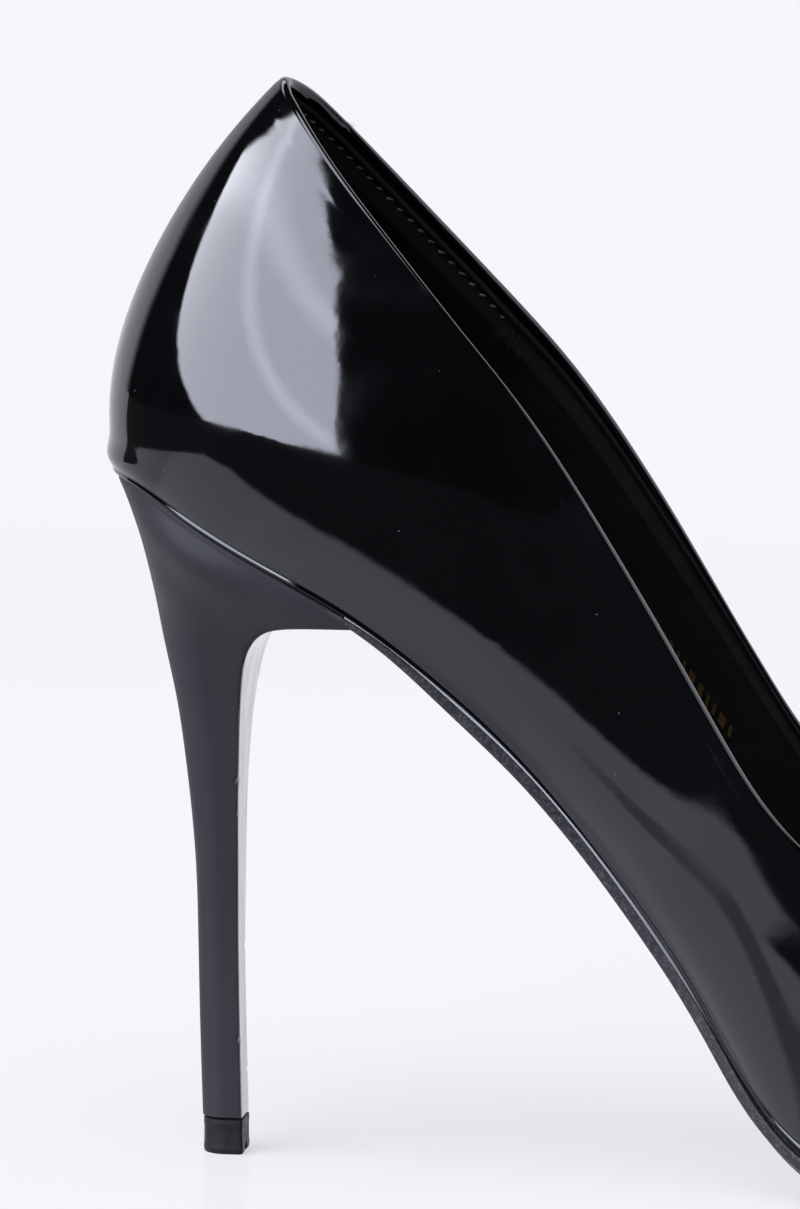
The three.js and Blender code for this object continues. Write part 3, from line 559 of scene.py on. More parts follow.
class Look(Nodes):
    """A Principled material; sizes are in mm."""

    def __init__(self, name, color, roughness, **sockets):
        self.material = bpy.data.materials.new(name)
        self.material.use_nodes = True
        super().__init__(self.material.node_tree)
        self.shader = self.tree.nodes["Principled BSDF"]
        self.shader.inputs["Base Color"].default_value = (*color, 1)
        self.shader.inputs["Roughness"].default_value = roughness
        for label, value in sockets.items():
            self.shader.inputs[label.replace("_", " ")].default_value = value
        self.where = self.node("ShaderNodeTexCoord").outputs["Object"]
        self.normal = None

    def place(self):
        """The place's x, y and z, in the frame's metres."""
        parts = self.node("ShaderNodeSeparateXYZ")
        self.link(self.where, parts.inputs["Vector"])
        return parts.outputs

    def noise(self, size, detail=2.0, stretch=None, distortion=0.0):
        made = self.node("ShaderNodeTexNoise")
        made.inputs["Scale"].default_value = 1 / (size * MM)
        made.inputs["Detail"].default_value = detail
        made.inputs["Distortion"].default_value = distortion
        self.link(self.stretched(stretch), made.inputs["Vector"])
        return made.outputs["Fac"]

    def cells(self, size):
        made = self.node("ShaderNodeTexVoronoi")
        made.inputs["Scale"].default_value = 1 / (size * MM)
        self.link(self.where, made.inputs["Vector"])
        return made.outputs["Distance"]

    def stretched(self, stretch):
        if stretch is None:
            return self.where
        mapping = self.node("ShaderNodeMapping")
        mapping.inputs["Scale"].default_value = stretch
        self.link(self.where, mapping.inputs["Vector"])
        return mapping.outputs["Vector"]

    def tint(self, share, first, second):
        """A colour between two, by a value."""
        made = self.node("ShaderNodeMix", data_type="RGBA")
        self.link(share, made.inputs["Factor"])
        made.inputs["A"].default_value = (*first, 1)
        made.inputs["B"].default_value = (*second, 1)
        return made.outputs["Result"]

    def color(self, share, first, second):
        """Colours the surface between two colours, by a value."""
        self.link(self.tint(share, first, second), self.shader.inputs["Base Color"])

    def roughness(self, share, low, high, start=0.3, end=0.7):
        """Makes the roughness vary from low to high, as a value goes from start to end."""
        self.link(self.ramp(share, start, end, low, high), self.shader.inputs["Roughness"])

    def bump(self, source, height):
        """Adds a relief of `height` mm; reliefs add up."""
        made = self.node("ShaderNodeBump")
        made.inputs["Strength"].default_value = 1.0
        made.inputs["Distance"].default_value = height * MM
        self.link(source, made.inputs["Height"])
        if self.normal is not None:
            self.link(self.normal, made.inputs["Normal"])
        self.normal = made.outputs["Normal"]
        self.link(self.normal, self.shader.inputs["Normal"])


COOL_GLOSS = (0.84, 0.87, 1.0, 1.0)    # the patent's reflections are slightly blue ...
SOFT_GLOSS = (0.86, 0.88, 1.0, 1.0)    # ... and so are the heel's and the sole's
UPRIGHT = (1, 1, 0.3)                  # stretches a texture along z


def patent_look():
    black = (0.0009, 0.0009, 0.0012)
    look = Look("patent_leather", black, 0.05, IOR=1.52, Specular_Tint=COOL_GLOSS)
    specks = look.ramp(look.cells(2.6), 0.035, 0.06, 1.0, 0.0)
    kept = look.ramp(look.noise(5.0), 0.58, 0.62)
    look.color(look.product(specks, kept), black, (0.05, 0.05, 0.055))
    look.roughness(look.noise(9.0, 3.0), 0.035, 0.085, 0.35, 0.75)
    look.bump(look.noise(11.0, 1.0, distortion=0.6), 0.035)
    look.bump(look.noise(2.2, 1.5), 0.006)
    look.bump(look.noise(0.5, 2.0), 0.0006)
    return look.material


def lining_look():
    look = Look("lining_leather", (0.003, 0.003, 0.0036), 0.7, IOR=1.45, Specular_IOR_Level=0.07)
    look.color(look.noise(7.0, 3.0), (0.0018, 0.0018, 0.0023), (0.0045, 0.0045, 0.0055))
    look.roughness(look.noise(2.5, 3.0), 0.6, 0.8)
    look.bump(look.cells(0.55), 0.03)
    look.bump(look.noise(0.9, 4.0), 0.05)
    return look.material


def sole_look():
    look = Look("sole_edge", (0.02, 0.02, 0.024), 0.45, Specular_IOR_Level=0.25, Specular_Tint=SOFT_GLOSS)
    grain = look.ramp(look.noise(0.5, 4.0), 0.45, 0.75)
    look.color(grain, (0.012, 0.012, 0.015), (0.036, 0.036, 0.041))
    look.roughness(look.noise(1.4, 3.0), 0.3, 0.5)
    look.bump(look.noise(0.35, 3.0), 0.02)
    return look.material


def bead_look():
    """Polished edge with a painted highlight: pale along the waist, dark towards the ball."""
    pale = (0.2, 0.204, 0.25)
    look = Look("bead_painted_highlight", pale, 0.28)
    ends = [float(placed(np.array([x, 0.0, 0.0]))[0]) for x in (BEAD_FADE_START, BEAD_END)]
    # Painted highlight: the colour fades from pale to the dark edge tone towards the ball.
    look.color(look.ramp(look.place()["X"], *ends), pale, (0.035, 0.035, 0.042))
    look.roughness(look.noise(1.2, 3.0), 0.22, 0.38)
    look.bump(look.noise(0.8, 2.0, stretch=(0.3, 1, 1)), 0.01)
    return look.material


def tread_look():
    look = Look("tread_rubber", (0.03, 0.03, 0.032), 0.6)
    look.color(look.noise(0.6, 4.0), (0.02, 0.02, 0.022), (0.05, 0.049, 0.052))
    look.bump(look.cells(0.45), 0.05)
    look.bump(look.noise(0.25, 2.0), 0.02)
    return look.material


def heel_look():
    look = Look("heel_lacquer", (0.016, 0.016, 0.02), 0.45, IOR=1.4, Specular_IOR_Level=0.1,
                Specular_Tint=SOFT_GLOSS)
    look.color(look.noise(9.0, 3.0, UPRIGHT), (0.0125, 0.0125, 0.016), (0.019, 0.019, 0.0235))
    look.roughness(look.noise(6.0, 4.0, (1, 1, 0.35)), 0.4, 0.5)
    look.bump(look.noise(1.6, 2.0, UPRIGHT), 0.004)
    return look.material


def breast_look():
    """The heel's front face: the same lacquer, polished and painted paler as a painted reflection, with a
    few duller marks.
    """
    # Painted reflection: the base colour is several times paler than on the heel's sides.
    look = Look("heel_breast_painted_reflection", (0.08, 0.08, 0.09), 0.25, IOR=1.55, Specular_IOR_Level=0.9,
                Coat_Weight=1.0, Coat_IOR=1.55, Coat_Roughness=0.12)
    look.color(look.noise(3.0, 3.0, (1, 1, 0.4)), (0.04, 0.04, 0.046), (0.11, 0.11, 0.122))
    look.roughness(look.noise(4.0, 3.0, (1, 1, 0.4)), 0.18, 0.36)
    return look.material


def tip_look():
    look = Look("heel_tip_polyurethane", (0.006, 0.006, 0.0075), 0.42, Specular_IOR_Level=0.1)
    look.color(look.noise(1.8, 4.0), (0.004, 0.004, 0.005), (0.009, 0.009, 0.011))
    look.roughness(look.noise(0.8, 3.0), 0.3, 0.5)
    look.bump(look.noise(0.4, 3.0), 0.01)
    return look.material


def foil_look():
    look = Look("gold_foil", (0.32, 0.2, 0.07), 0.35, Metallic=1.0)
    look.color(look.noise(0.4, 3.0), (0.12, 0.08, 0.03), (0.42, 0.28, 0.1))
    look.bump(look.noise(0.3, 2.0), 0.01)
    return look.material


def thread_look():
    look = Look("black_thread", (0.02, 0.02, 0.022), 0.5, Sheen_Weight=0.3)
    look.color(look.noise(0.3), (0.015, 0.015, 0.017), (0.05, 0.05, 0.055))
    look.bump(look.noise(0.15, 1.0, (1, 1, 3)), 0.02)
    return look.material


def cloth_look(name, first, second, weave=0.35):
    look = Look(name, first, 0.85)
    look.color(look.noise(weave * 3, 3.0), first, second)
    look.bump(look.cells(weave), 0.05)
    return look.material


def board_look(name, first, second):
    look = Look(name, first, 0.8)
    look.color(look.noise(0.8, 5.0), first, second)
    look.bump(look.noise(0.4, 4.0), 0.03)
    return look.material


def foam_look():
    look = Look("foam", (0.08, 0.08, 0.09), 0.9)
    look.color(look.cells(0.5), (0.05, 0.05, 0.058), (0.11, 0.11, 0.12))
    look.bump(look.cells(0.5), 0.08)
    return look.material


def steel_look():
    look = Look("plain_steel", (0.55, 0.55, 0.57), 0.3, Metallic=1.0)
    look.color(look.noise(2.0, 3.0), (0.45, 0.45, 0.47), (0.62, 0.62, 0.64))
    look.roughness(look.noise(0.5, 3.0, (0.1, 1, 1)), 0.25, 0.42)
    return look.material


PATENT = patent_look()
LINING = lining_look()
SOLE_EDGE = sole_look()
BEAD = bead_look()
TREAD = tread_look()
HEEL_LACQUER = heel_look()
HEEL_BREAST_PAINTED_REFLECTION = breast_look()
TIP = tip_look()
FOIL = foil_look()
THREAD = thread_look()
TAPE_CLOTH = cloth_look("tape_cloth", (0.03, 0.03, 0.035), (0.07, 0.07, 0.075))
STIFFENER = board_look("stiffener_sheet", (0.5, 0.45, 0.36), (0.6, 0.56, 0.46))
FIBREBOARD = board_look("fibreboard", (0.26, 0.16, 0.09), (0.4, 0.27, 0.16))
FELT = cloth_look("felt", (0.2, 0.18, 0.16), (0.3, 0.28, 0.25), 0.6)
FOAM = foam_look()
STEEL = steel_look()


# ------------------------------------------------------------------ the upper
def loop_positions():
    """Loop positions of the upper's columns, crowded at the back seam and at the toe tip."""
    even = np.linspace(0, 1, 420, endpoint=False)
    steps = 0.0011 * np.array([0.25, 0.5, 0.8, 1.1, 1.5, 2.2, 3])
    toe = 0.5 + 0.0012 * np.arange(-6, 7)
    return np.unique(np.round(np.concatenate([even, steps, -steps % 1, toe]), 6))


def rim_growth(t):
    """How much of its extra thickness the folded edge has, 0 to 1; it stops short on one side."""
    start, end = position(np.array(BACK_BUMP))
    return smoothstep(centred(t), start, 0.0) * (1 - smoothstep(centred(t), end - 0.0012, end))


def rim_lift(t, growth):
    """Extra height of the folded edge in mm: over the back seam and along the inner side."""
    rear, fore, front = position(np.array(SIDE_COLUMNS))
    inner_side = smoothstep(centred(t), 0.4 * rear, rear) * (1 - smoothstep(centred(t), fore, front))
    return BACK_LIFT * growth + SIDE_LIFT * inner_side * (1 - growth)


def wall_relief(t, points, below, height):
    """Outward relief of the patent in mm, for points `below` the topline of a wall."""
    above = height - below
    back = from_back(t)[:, None]
    waves = 0.03 * ripple(points, 15.0, 3.1) + 0.008 * ripple(points, 7.0, 8.4)
    waves = waves * smoothstep(below, 0.5, 6.0) * smoothstep(above, 0.5, 5.0)
    seam = (0.1 * bell(back, 1.5, 1.0) - 0.2 * bell(back, 0, 0.38)) * smoothstep(below, 0.0, 1.5)
    tape_step = 0.012 * (1 - smoothstep(below, 3.4, 4.4))
    back_corner = bell(back, 0, 15.0) * bell(above, 2.6, 2.2)
    lower_edge = 0.33 * (1 - smoothstep(above, 0.5, 1.3))
    return waves + seam + tape_step + back_corner + lower_edge


def margin_width(foot):
    """Width of the upper's turned-under edge, less towards the toe tip."""
    return np.clip(MARGIN_WIDTH[0] + 0.3 * (TOE_X - foot[:, 0]), *MARGIN_WIDTH)


def margin_points(foot, inward, insets, over):
    """Points of the turned-under edge, `insets` inside the feather line."""
    plan = foot[:, None, :2] + inward[:, None, :] * insets[..., None]
    return np.concatenate([plan, level_z(plan[..., 0], over)[..., None]], axis=2)


def upper_outer_rows(t, height, radius):
    """Rows up the outside, from the lower edge to the folded one."""
    share = spaced(0, 1, 110, 0.82)[None, :]
    below = blend(height - FEATHER_RADIUS, radius, share)
    points, normal, _ = surface(t, v_below(t, below))
    return points + normal * wall_relief(t, points, below, height)[..., None]


def rim_rows(t, radius, growth):
    """Rows over the rounded topline."""
    point, normal, up = (a[:, :1] for a in surface(t, v_below(t, radius[:, None])))
    lift = rim_lift(t, growth)[:, None, None]
    centre = point - normal * radius[:, None, None] + up * lift
    angle = np.linspace(0, math.pi, 15)[None, 1:-1, None]
    swept = np.cos(angle) * normal + np.sin(angle) * up
    return centre + swept * radius[:, None, None]


def upper_inner_rows(t, radius):
    """Rows down the inside: the folded-in part first, then the back of the leather."""
    inside = v_clear(t, MARGIN_TOP)
    fold = np.array([1.0, 1.6, FOLD_DEPTH - 0.2])[None, :] * np.ones((len(t), 1))
    rows = [wall(t, v_below(t, fold), 2 * radius[:, None])]
    top_v = v_below(t, np.full((len(t), 1), FOLD_DEPTH + 0.8))
    v = blend(top_v, inside, np.linspace(0, 1, 18)[None, :])
    rows.append(wall(t, v, LEATHER))
    return np.concatenate(rows, axis=1)


def build_upper():
    """The patent upper: turned under at the feather line and folded in at the topline."""
    t = loop_positions()
    height = column_lengths(t)[:, :1]
    growth = rim_growth(t)
    radius = RIM_RADIUS * (1 + BACK_GROWTH * growth)
    foot, inward = foot_and_inward(t)
    width = margin_width(foot)[:, None]

    outer = upper_outer_rows(t, height, radius[:, None])
    insets = blend(width, FEATHER_RADIUS, np.linspace(0, 1, 6)[None, :])
    under = margin_points(foot, inward, insets, 0.0)
    corner_share = np.linspace(0, 1, 11)[None, 1:-1, None]
    corner = bezier(
        under[:, -1:], blend(under[:, -1:], foot[:, None], 0.6),
        blend(outer[:, :1], foot[:, None], 0.6), outer[:, :1], corner_share)
    rim = rim_rows(t, radius, growth)
    inner = upper_inner_rows(t, radius)
    insets = blend(LEATHER + 0.5, width, np.linspace(0, 1, 5)[None, :])
    over = margin_points(foot, inward, insets, MARGIN_TOP)
    rings = np.concatenate([under, corner, outer, rim, inner, over], axis=1)
    finish_piece(loft("patent_upper", rings, PATENT, closed_rings=True), "patent", "upper")


# ------------------------------------------------------------------ lining and tape
def lining_depth(below):
    """How deep the linings lie inside the wall; their edge lies further out."""
    return blend(LINING_EDGE_DEPTH, LINING_WALL_DEPTH, smoothstep(below, 2.6, 5.6))


def lining_positions(u0, u1, dense_u, count):
    """Positions between two columns, with close ones round each column of dense_u."""
    reach = 0.008
    parts = [np.linspace(position(u0), position(u1), count)]
    for u in dense_u:
        middle = position(u)
        parts.append(np.linspace(middle - reach, middle + reach, 60))
    t = np.unique(np.round(np.concatenate(parts), 6))
    return t[(t >= position(u0)) & (t <= position(u1))]


def lining_relief(t, points, below):
    """Inward relief of the lining in mm: its rolled edge, stitch groove, tape edge and creases."""
    edge = 0.22 * bell(below, 1.85, 0.42)
    groove = -0.14 * bell(below, STITCH_BELOW, 0.3)
    ridge = 0.1 * bell(below, TAPE["bottom"], 0.5)
    lumps = 0.084 * ripple(points, 4.0, 1.7) * smoothstep(below, 1.0, 2.0)
    slack = 0.16 * ripple(points, 11.0, 5.2) * smoothstep(below, 6.0, 12.0)
    return edge + groove + ridge + lumps + slack + crease_relief(t, below)


def crease_relief(t, below):
    """Height of the creases beside the seam between the two linings."""
    across = from_back(t) - position(QUARTER_END) * LOOP_LENGTH
    total = np.zeros_like(below)
    for offset, lean, start, end, height in CREASES:
        line = across[:, None] - offset + lean * (below - start)
        along = smoothstep(below, start - 0.8, start + 0.8) * (1 - smoothstep(below, end - 2.0, end))
        total += height * bell(line, 0, 0.42) * along
    return total


def lining_piece(name, t, low_v, edge_relief):
    """A lining shell with a rounded top edge; edge_relief lifts it near its ends."""
    top = LINING_TOP + 0.1 * ripple(RAILS[3].at(t % 1), 9.0, 4.4)[:, None]
    lengths = column_lengths(t)
    bottom = np.array([[np.interp(v[0], FINE_V, row)] for v, row in zip(low_v, lengths)])
    share = (np.linspace(0, 1, 64) ** 1.7)[None, :]
    below = blend(top, bottom, share)
    v = v_below(t, below)
    depth = lining_depth(below)
    point, normal, _ = surface(t, v)
    roundness = np.sqrt(np.clip((below - top) / 0.45, 0, 1))
    relief = lining_relief(t, point, below) + edge_relief(t)[:, None]
    inner_depth = depth + (LINING_THICK + relief) * blend(0.35, 1.0, roundness)
    outer = point - normal * depth[..., None]
    inner = point - normal * inner_depth[..., None]
    return shell(name, outer, inner, LINING)


def build_linings():
    seam_t = position(QUARTER_END)
    half_gap = 0.00012

    def overlap(t):
        return 0.14 * smoothstep(np.abs(centred(t)), seam_t - 0.008, seam_t - 0.0045)

    t = lining_positions(-QUARTER_END, QUARTER_END, (-QUARTER_END, QUARTER_END), 230)
    t = t[np.abs(t) < seam_t - half_gap]
    quarter = lining_piece("quarter_lining_leather", t, v_clear(t, SHANK_BOARD_TOP), overlap)
    finish_piece(quarter, "lining", "quarter_lining")

    t = lining_positions(QUARTER_END, 1 - QUARTER_END, (QUARTER_END, 1 - QUARTER_END), 300)
    t = t[(t > seam_t + half_gap) & (t < 1 - seam_t - half_gap)]
    vamp = lining_piece("vamp_lining_leather", t, v_clear(t, SHANK_BOARD_TOP), lambda t: np.zeros(len(t)))
    finish_piece(vamp, "lining", "vamp_lining")


def build_tape():
    """The reinforcing tape folded inside the topline."""
    t = np.linspace(0, 1, 240, endpoint=False)
    below = np.linspace(TAPE["bottom"], TAPE["top"], 6)[None, :]
    v = v_below(t, below)
    rings = np.concatenate([wall(t, v, TAPE["outer"]), wall(t, v, TAPE["inner"])[:, ::-1]], axis=1)
    tape = loft("topline_tape_cloth", rings, TAPE_CLOTH, closed_rings=True, sharp=40)
    finish_piece(tape, "tape", "topline_tape")


def build_back_strip():
    """The strip over the back seam, standing a little over the lining, with soft edges."""
    reach = position(STRIP_COLUMN)
    start, end = STRIP_ENDS
    t = np.linspace(-reach, reach, 60)
    below = blend(start, end, np.linspace(0, 1, 60)[None, :] ** 1.3)
    base = lining_depth(below) + LINING_THICK + 0.05
    across = np.abs(t / reach)[:, None]
    ends = smoothstep(below, start, start + 0.8) * (1 - smoothstep(below, end - 1.2, end))
    body = STRIP_THICK * np.sqrt(np.clip(1 - across ** 8, 0, 1)) * blend(0.3, 1.0, ends) + 0.05
    point, normal, _ = surface(t, v_below(t, below))
    body += 0.05 * ripple(point, 3.0, 9.0)
    outer = point - normal * base[..., None]
    inner = point - normal * (base + body)[..., None]
    finish_piece(shell("back_strip_leather", outer, inner, LINING), "lining", "back_strip")


# ------------------------------------------------------------------ stitches, foil and fibres
def stitch_rings(centre, along, side, out, sag):
    """Rings of one thread stitch: round, with its two ends going down into the leather by sag."""
    rings = []
    for share in np.linspace(-1, 1, 7):
        thick = STITCH_RADIUS * math.sqrt(max(0.05, 1 - abs(share) ** 4))
        middle = centre + along * (share * STITCH_LENGTH / 2) - out * (sag * share * share)
        rings.append(circle(middle, side, out, thick, 8))
    return np.array(rings)


def lining_frame(t, below, lift=0.0):
    """Points on the lining's inner face, with directions along, down and into the shoe."""
    below = np.full((len(t), 1), below)
    point, normal, up = surface(t, v_below(t, below))
    depth = lining_depth(below) + LINING_THICK + lift
    spot = point - normal * depth[..., None]
    along = unit(np.cross(normal, up))
    return spot[:, 0], along[:, 0], up[:, 0], -normal[:, 0]


def lining_run(first, last, below, count):
    """Loop positions between two columns, and the distance along the lining to each."""
    t = np.linspace(position(first), position(last), count)
    line = lining_frame(t, below)[0]
    return t, running(np.linalg.norm(np.diff(line, axis=0), axis=1))


def build_stitches():
    """The row of stitches that holds the quarter lining to the folded topline."""
    fine, run = lining_run(-QUARTER_END, QUARTER_END, STITCH_BELOW, 1200)
    marks = np.interp(np.arange(STITCH_PITCH, run[-1] - STITCH_PITCH, STITCH_PITCH), run, fine)
    parts = [stitch_rings(spot, along + 0.06 * up, up, out, 0.24)
             for spot, along, up, out in zip(*lining_frame(marks, STITCH_BELOW, -0.12))]
    points, faces = joined(parts)
    finish_piece(make_piece("lining_stitches", points, faces, THREAD), None)


def build_foil_marks():
    """A plain row of foil bars on the inner quarter, where the size is usually stamped."""
    fine, run = lining_run(*FOIL_COLUMNS, FOIL_BELOW, 400)
    gap = (run[-1] - sum(FOIL_WIDTHS)) / (len(FOIL_WIDTHS) - 1)
    below = (FOIL_BELOW + FOIL_HEIGHT * np.linspace(-0.5, 0.5, 5))[None, :]
    base = lining_depth(below) + LINING_THICK + 0.1
    parts = []
    at = 0.0
    for width in FOIL_WIDTHS:
        t = np.interp(np.linspace(at, at + width, 3), run, fine)
        v = v_below(t, below)
        parts.append(np.concatenate([wall(t, v, base), wall(t, v, base + 0.14)[:, ::-1]], axis=1))
        at += width + gap
    points, faces = joined(parts)
    finish_piece(make_piece("foil_size_bars", points, faces, FOIL, sharp=40), None)


def build_fibres():
    """A few stray fibres where the thicker fold at the back seam ends."""
    t = np.array([position(BACK_BUMP[1])])
    point, normal, up = (a[0, 0] for a in surface(t, np.array([[1.0]])))
    along = unit(np.cross(up, normal))
    parts = []
    for k in range(6):
        lean = -0.9 + 0.36 * k
        length = 0.7 + 0.12 * ((k * 5) % 4)
        root = point - normal * (0.35 + 0.15 * k) + up * 0.05 - along * 0.1 * k
        rings = []
        for share in np.linspace(0, 1, 6):
            middle = root + (up * 0.8 - along * (0.5 + lean * share) + normal * 0.2 * lean) * length * share
            rings.append(circle(middle, normal, along, 0.05 * (1 - 0.7 * share), 5))
        parts.append(np.array(rings))
    points, faces = joined(parts)
    finish_piece(make_piece("stray_fibres", points, faces, THREAD), None)


# ------------------------------------------------------------------ plates along the sole
def half_positions(from_x, count):
    """Loop positions on the inner side from a given x to the toe tip, closer at both ends."""
    return spaced(position_at(from_x), 0.5, count, 0.75)


def plate_rings(foot, inward, profile, inner_count, top_shape=None):
    """Closed rings across a plate from its edge profile.

    profile is (n, k, 2): distance outside the feather line and height over it, from the
    inner end of the top round the edge to the inner end of the bottom. top_shape adds
    height inside the top, from x and the share of the half width.
    """
    plan = foot[:, None, :2] - inward[:, None, :] * profile[..., :1]
    plan[..., 1] = np.maximum(plan[..., 1], 0)
    edge = np.concatenate([plan, level_z(plan[..., 0], profile[..., 1])[..., None]], axis=2)
    share = np.linspace(1, -1, inner_count)[None, 1:-1]

    def across(start, over, shape=None):
        y = start[:, None, 1] * share
        x = np.broadcast_to(start[:, None, 0], y.shape)
        height = over[:, None] + (shape(x, np.broadcast_to(np.abs(share), y.shape)) if shape else 0)
        return np.stack([x, y, level_z(x, height)], axis=2)

    bottom = across(edge[:, -1], profile[:, -1, 1])
    top = across(edge[:, 0], profile[:, 0, 1], top_shape)[:, ::-1]
    return np.concatenate([edge, bottom, (edge * MIRROR)[:, ::-1], top], axis=1)


def sole_thickness(x):
    """Thin over the heel's breast, thicker along the waist and thickest before the ball."""
    rear = blend(SOLE_THICK["start"], SOLE_THICK["waist"],
                 smoothstep(x, SOLE_START - 8, SOLE_THICK["taper_end"]))
    height, rise, fall = BALL_SWELL
    swell = height * smoothstep(x, *rise) * (1 - smoothstep(x, *fall))
    return blend(rear, SOLE_THICK["fore"], smoothstep(x, TREAD_START - 12, TREAD_START)) + swell


def sole_edge_rows(x, depth):
    """Edge profile of a sole `depth` thick: tucked under at the waist, upright under the ball.

    Each point is a distance outside the feather line and a height over it.
    """
    top = PLATE_TOP
    low = top - depth
    reach = blend(0.22, 0.5, float(smoothstep(x, SOLE_START, 55)))
    turns = np.linspace(0, 1, 9)[:, None]
    ends = np.array([(-0.1, -0.1), (0.7 * reach, -0.1), (reach, -0.16), (reach, -0.45)])
    waist = np.array([
        (-2.4, top), (-1.0, top), *bezier(*ends, turns), (reach, blend(-0.45, low, 0.3)),
        (reach - 0.02, blend(-0.45, low, 0.5)), (reach - 0.08, blend(-0.45, low, 0.8)),
        (reach - 0.16, low + 0.1), (reach - 0.3, low), (-2.4, low)])
    ends = np.array([(-0.6, -0.35), (-0.35, -0.85), (0.34, -0.65), (0.36, -0.98)])
    upright = np.array([
        (-2.4, top), (-1.0, top), *bezier(*ends, turns), (0.36, -1.0), (0.36, -1.1), (0.34, -1.25),
        (0.3, low + 0.1), (0.15, low), (-2.4, low)])
    return blend(waist, upright, float(smoothstep(x, 70, 88)))


def build_outsole():
    """The long sole, from the heel's breast to the toe tip."""
    t = half_positions(SOLE_START, 260)
    foot, inward = foot_and_inward(t)
    thick = sole_thickness(foot[:, 0])
    profiles = np.array([sole_edge_rows(x, depth) for x, depth in zip(foot[:, 0], thick)])
    rings = plate_rings(foot, inward, profiles, 14)
    finish_piece(loft("outsole_leather", rings, SOLE_EDGE, sharp=55), "sole_rubber", "outsole")


def build_sole_bead():
    """The polished bead along the sole's top edge at the waist, one on each side, with a painted highlight.
    """
    t = half_positions(BEAD_START, 420)
    t = t[RAILS[0].at(t)[:, 0] < BEAD_END]
    foot, inward = foot_and_inward(t)
    x = foot[:, 0]
    size = smoothstep(x, SOLE_START, 62)
    ending = smoothstep(x, BEAD_END - 16, BEAD_END)
    radius = (blend(0.14, 0.36, size) * blend(1, 0.6, ending))[:, None]
    middle = (blend(0.06, 0.24, size) * blend(1, -0.4, ending))[:, None]
    angles = np.linspace(0, 2 * math.pi, 16, endpoint=False)[None, :]
    plan = foot[:, None, :2] - inward[:, None, :] * (middle + radius * np.cos(angles))[..., None]
    over = 0.06 + radius * np.sin(angles)
    rings = np.concatenate([plan, level_z(plan[..., 0], over)[..., None]], axis=2)
    points, faces = joined([rings, rings * MIRROR])
    finish_piece(make_piece("sole_edge_bead", points, faces, BEAD), "sole_rubber")


def build_tread():
    """The half sole under the ball and toe: it starts thin and has a shallow groove by its edge."""
    t = half_positions(TREAD_START, 220)
    foot, inward = foot_and_inward(t)
    thick = blend(0.16, TREAD_THICK, smoothstep(foot[:, 0], TREAD_START - 2, TREAD_FULL))
    top = PLATE_TOP - SOLE_THICK["fore"] - 0.12
    profiles = []
    for depth in thick:
        low = top - depth
        chamfer = min(0.25, depth * 0.3)
        rows = [(-3.0, top), (-0.35, top), (-0.2, top - 0.08), (-0.22, low + chamfer),
                (-0.22 - chamfer, low), (-1.6, low), (-1.75, low + 0.12), (-2.1, low + 0.12),
                (-2.25, low), (-3.0, low)]
        profiles.append(rows)
    rings = plate_rings(foot, inward, np.array(profiles), 18)
    finish_piece(loft("tread_rubber_sole", rings, TREAD, sharp=40), "sole_rubber", "forepart_tread")


def sock_level(x):
    """Height of the sock's underside: over the two pads, and lower between them."""
    low = SHANK_BOARD_TOP + GAP
    raised = PAD_TOP + GAP
    down, up = SOCK_DIP
    return low + (raised - low) * (1 - smoothstep(x, *down) + smoothstep(x, *up))


def sock_outline(t):
    """Points where the sock's edge meets the lining, one for each position."""
    depth = LINING_WALL_DEPTH + LINING_THICK + 0.12
    v = v_through(t, lambda x: level_z(x, sock_level(x) + SOCK_EDGE_LIFT), depth)
    outline = wall(t, v, depth)[:, 0]
    outline[:, 1] = np.maximum(outline[:, 1], 0)
    outline[:, 0] = np.maximum.accumulate(outline[:, 0])
    outline[[0, -1], 1] = 0
    return outline


def build_insock():
    """The lining sock over the insole, its edge curled up against the linings."""
    outline = sock_outline(spaced(0, 0.5, 300, 0.85))
    shares = np.concatenate([np.linspace(1, 0.9, 8), np.linspace(0.87, 0, 16)])

    def sheet_points(lift, curl):
        rows = []
        for x, y, _ in outline:
            ys = y * shares
            over = sock_level(x) + lift + curl * (1 - smoothstep(y - ys, 0.0, 2.6))
            over = over + 0.25 * smoothstep(y - ys, 0.5, 9.0)
            rows.append(np.stack([np.full_like(ys, x), ys, level_z(np.full_like(ys, x), over)], axis=1))
        rows = np.array(rows)
        return np.concatenate([rows, rows[:, -2::-1] * MIRROR], axis=1)

    top = sheet_points(SOCK_THICK, SOCK_EDGE_LIFT)
    top[..., 2] += 0.03 * ripple(top, 9.0, 2.2)
    bottom = sheet_points(0.0, SOCK_EDGE_LIFT + 0.1)
    rings = np.concatenate([top, bottom[:, ::-1]], axis=1)
    finish_piece(loft("sock_leather", rings, LINING), "lining", "insock")


def pad_piece(name, t, inset, low, straight_x, way, replaced):
    """A crowned foam pad that runs from its straight end at straight_x to the heel or the toe.

    way is 1 where it runs towards the toe and -1 where it runs back; the straight end tapers.
    """
    foot, inward = foot_and_inward(t)
    thick = PAD_TOP - low
    profiles = []
    for x in foot[:, 0]:
        full = low + thick * blend(0.3, 0.75, float(smoothstep(way * (x - straight_x), 0, 6)))
        outer = -(inset + 6.0 * smoothstep(x, TOE_CLOSING_X, TOE_X))
        profiles.append([
            (outer - 1.0, full), (outer - 0.4, full - 0.12), (outer - 0.1, full - 0.4),
            (outer + 0.05, blend(low, full, 0.5)), (outer - 0.1, low + 0.15), (outer - 0.5, low)])

    def top_shape(x, share):
        return thick * 0.25 * (1 - share ** 3) * smoothstep(way * (x - straight_x), 0, 8)

    piece = loft(name, plate_rings(foot, inward, np.array(profiles), 14, top_shape), FOAM)
    finish_piece(piece, "foam", replaced)


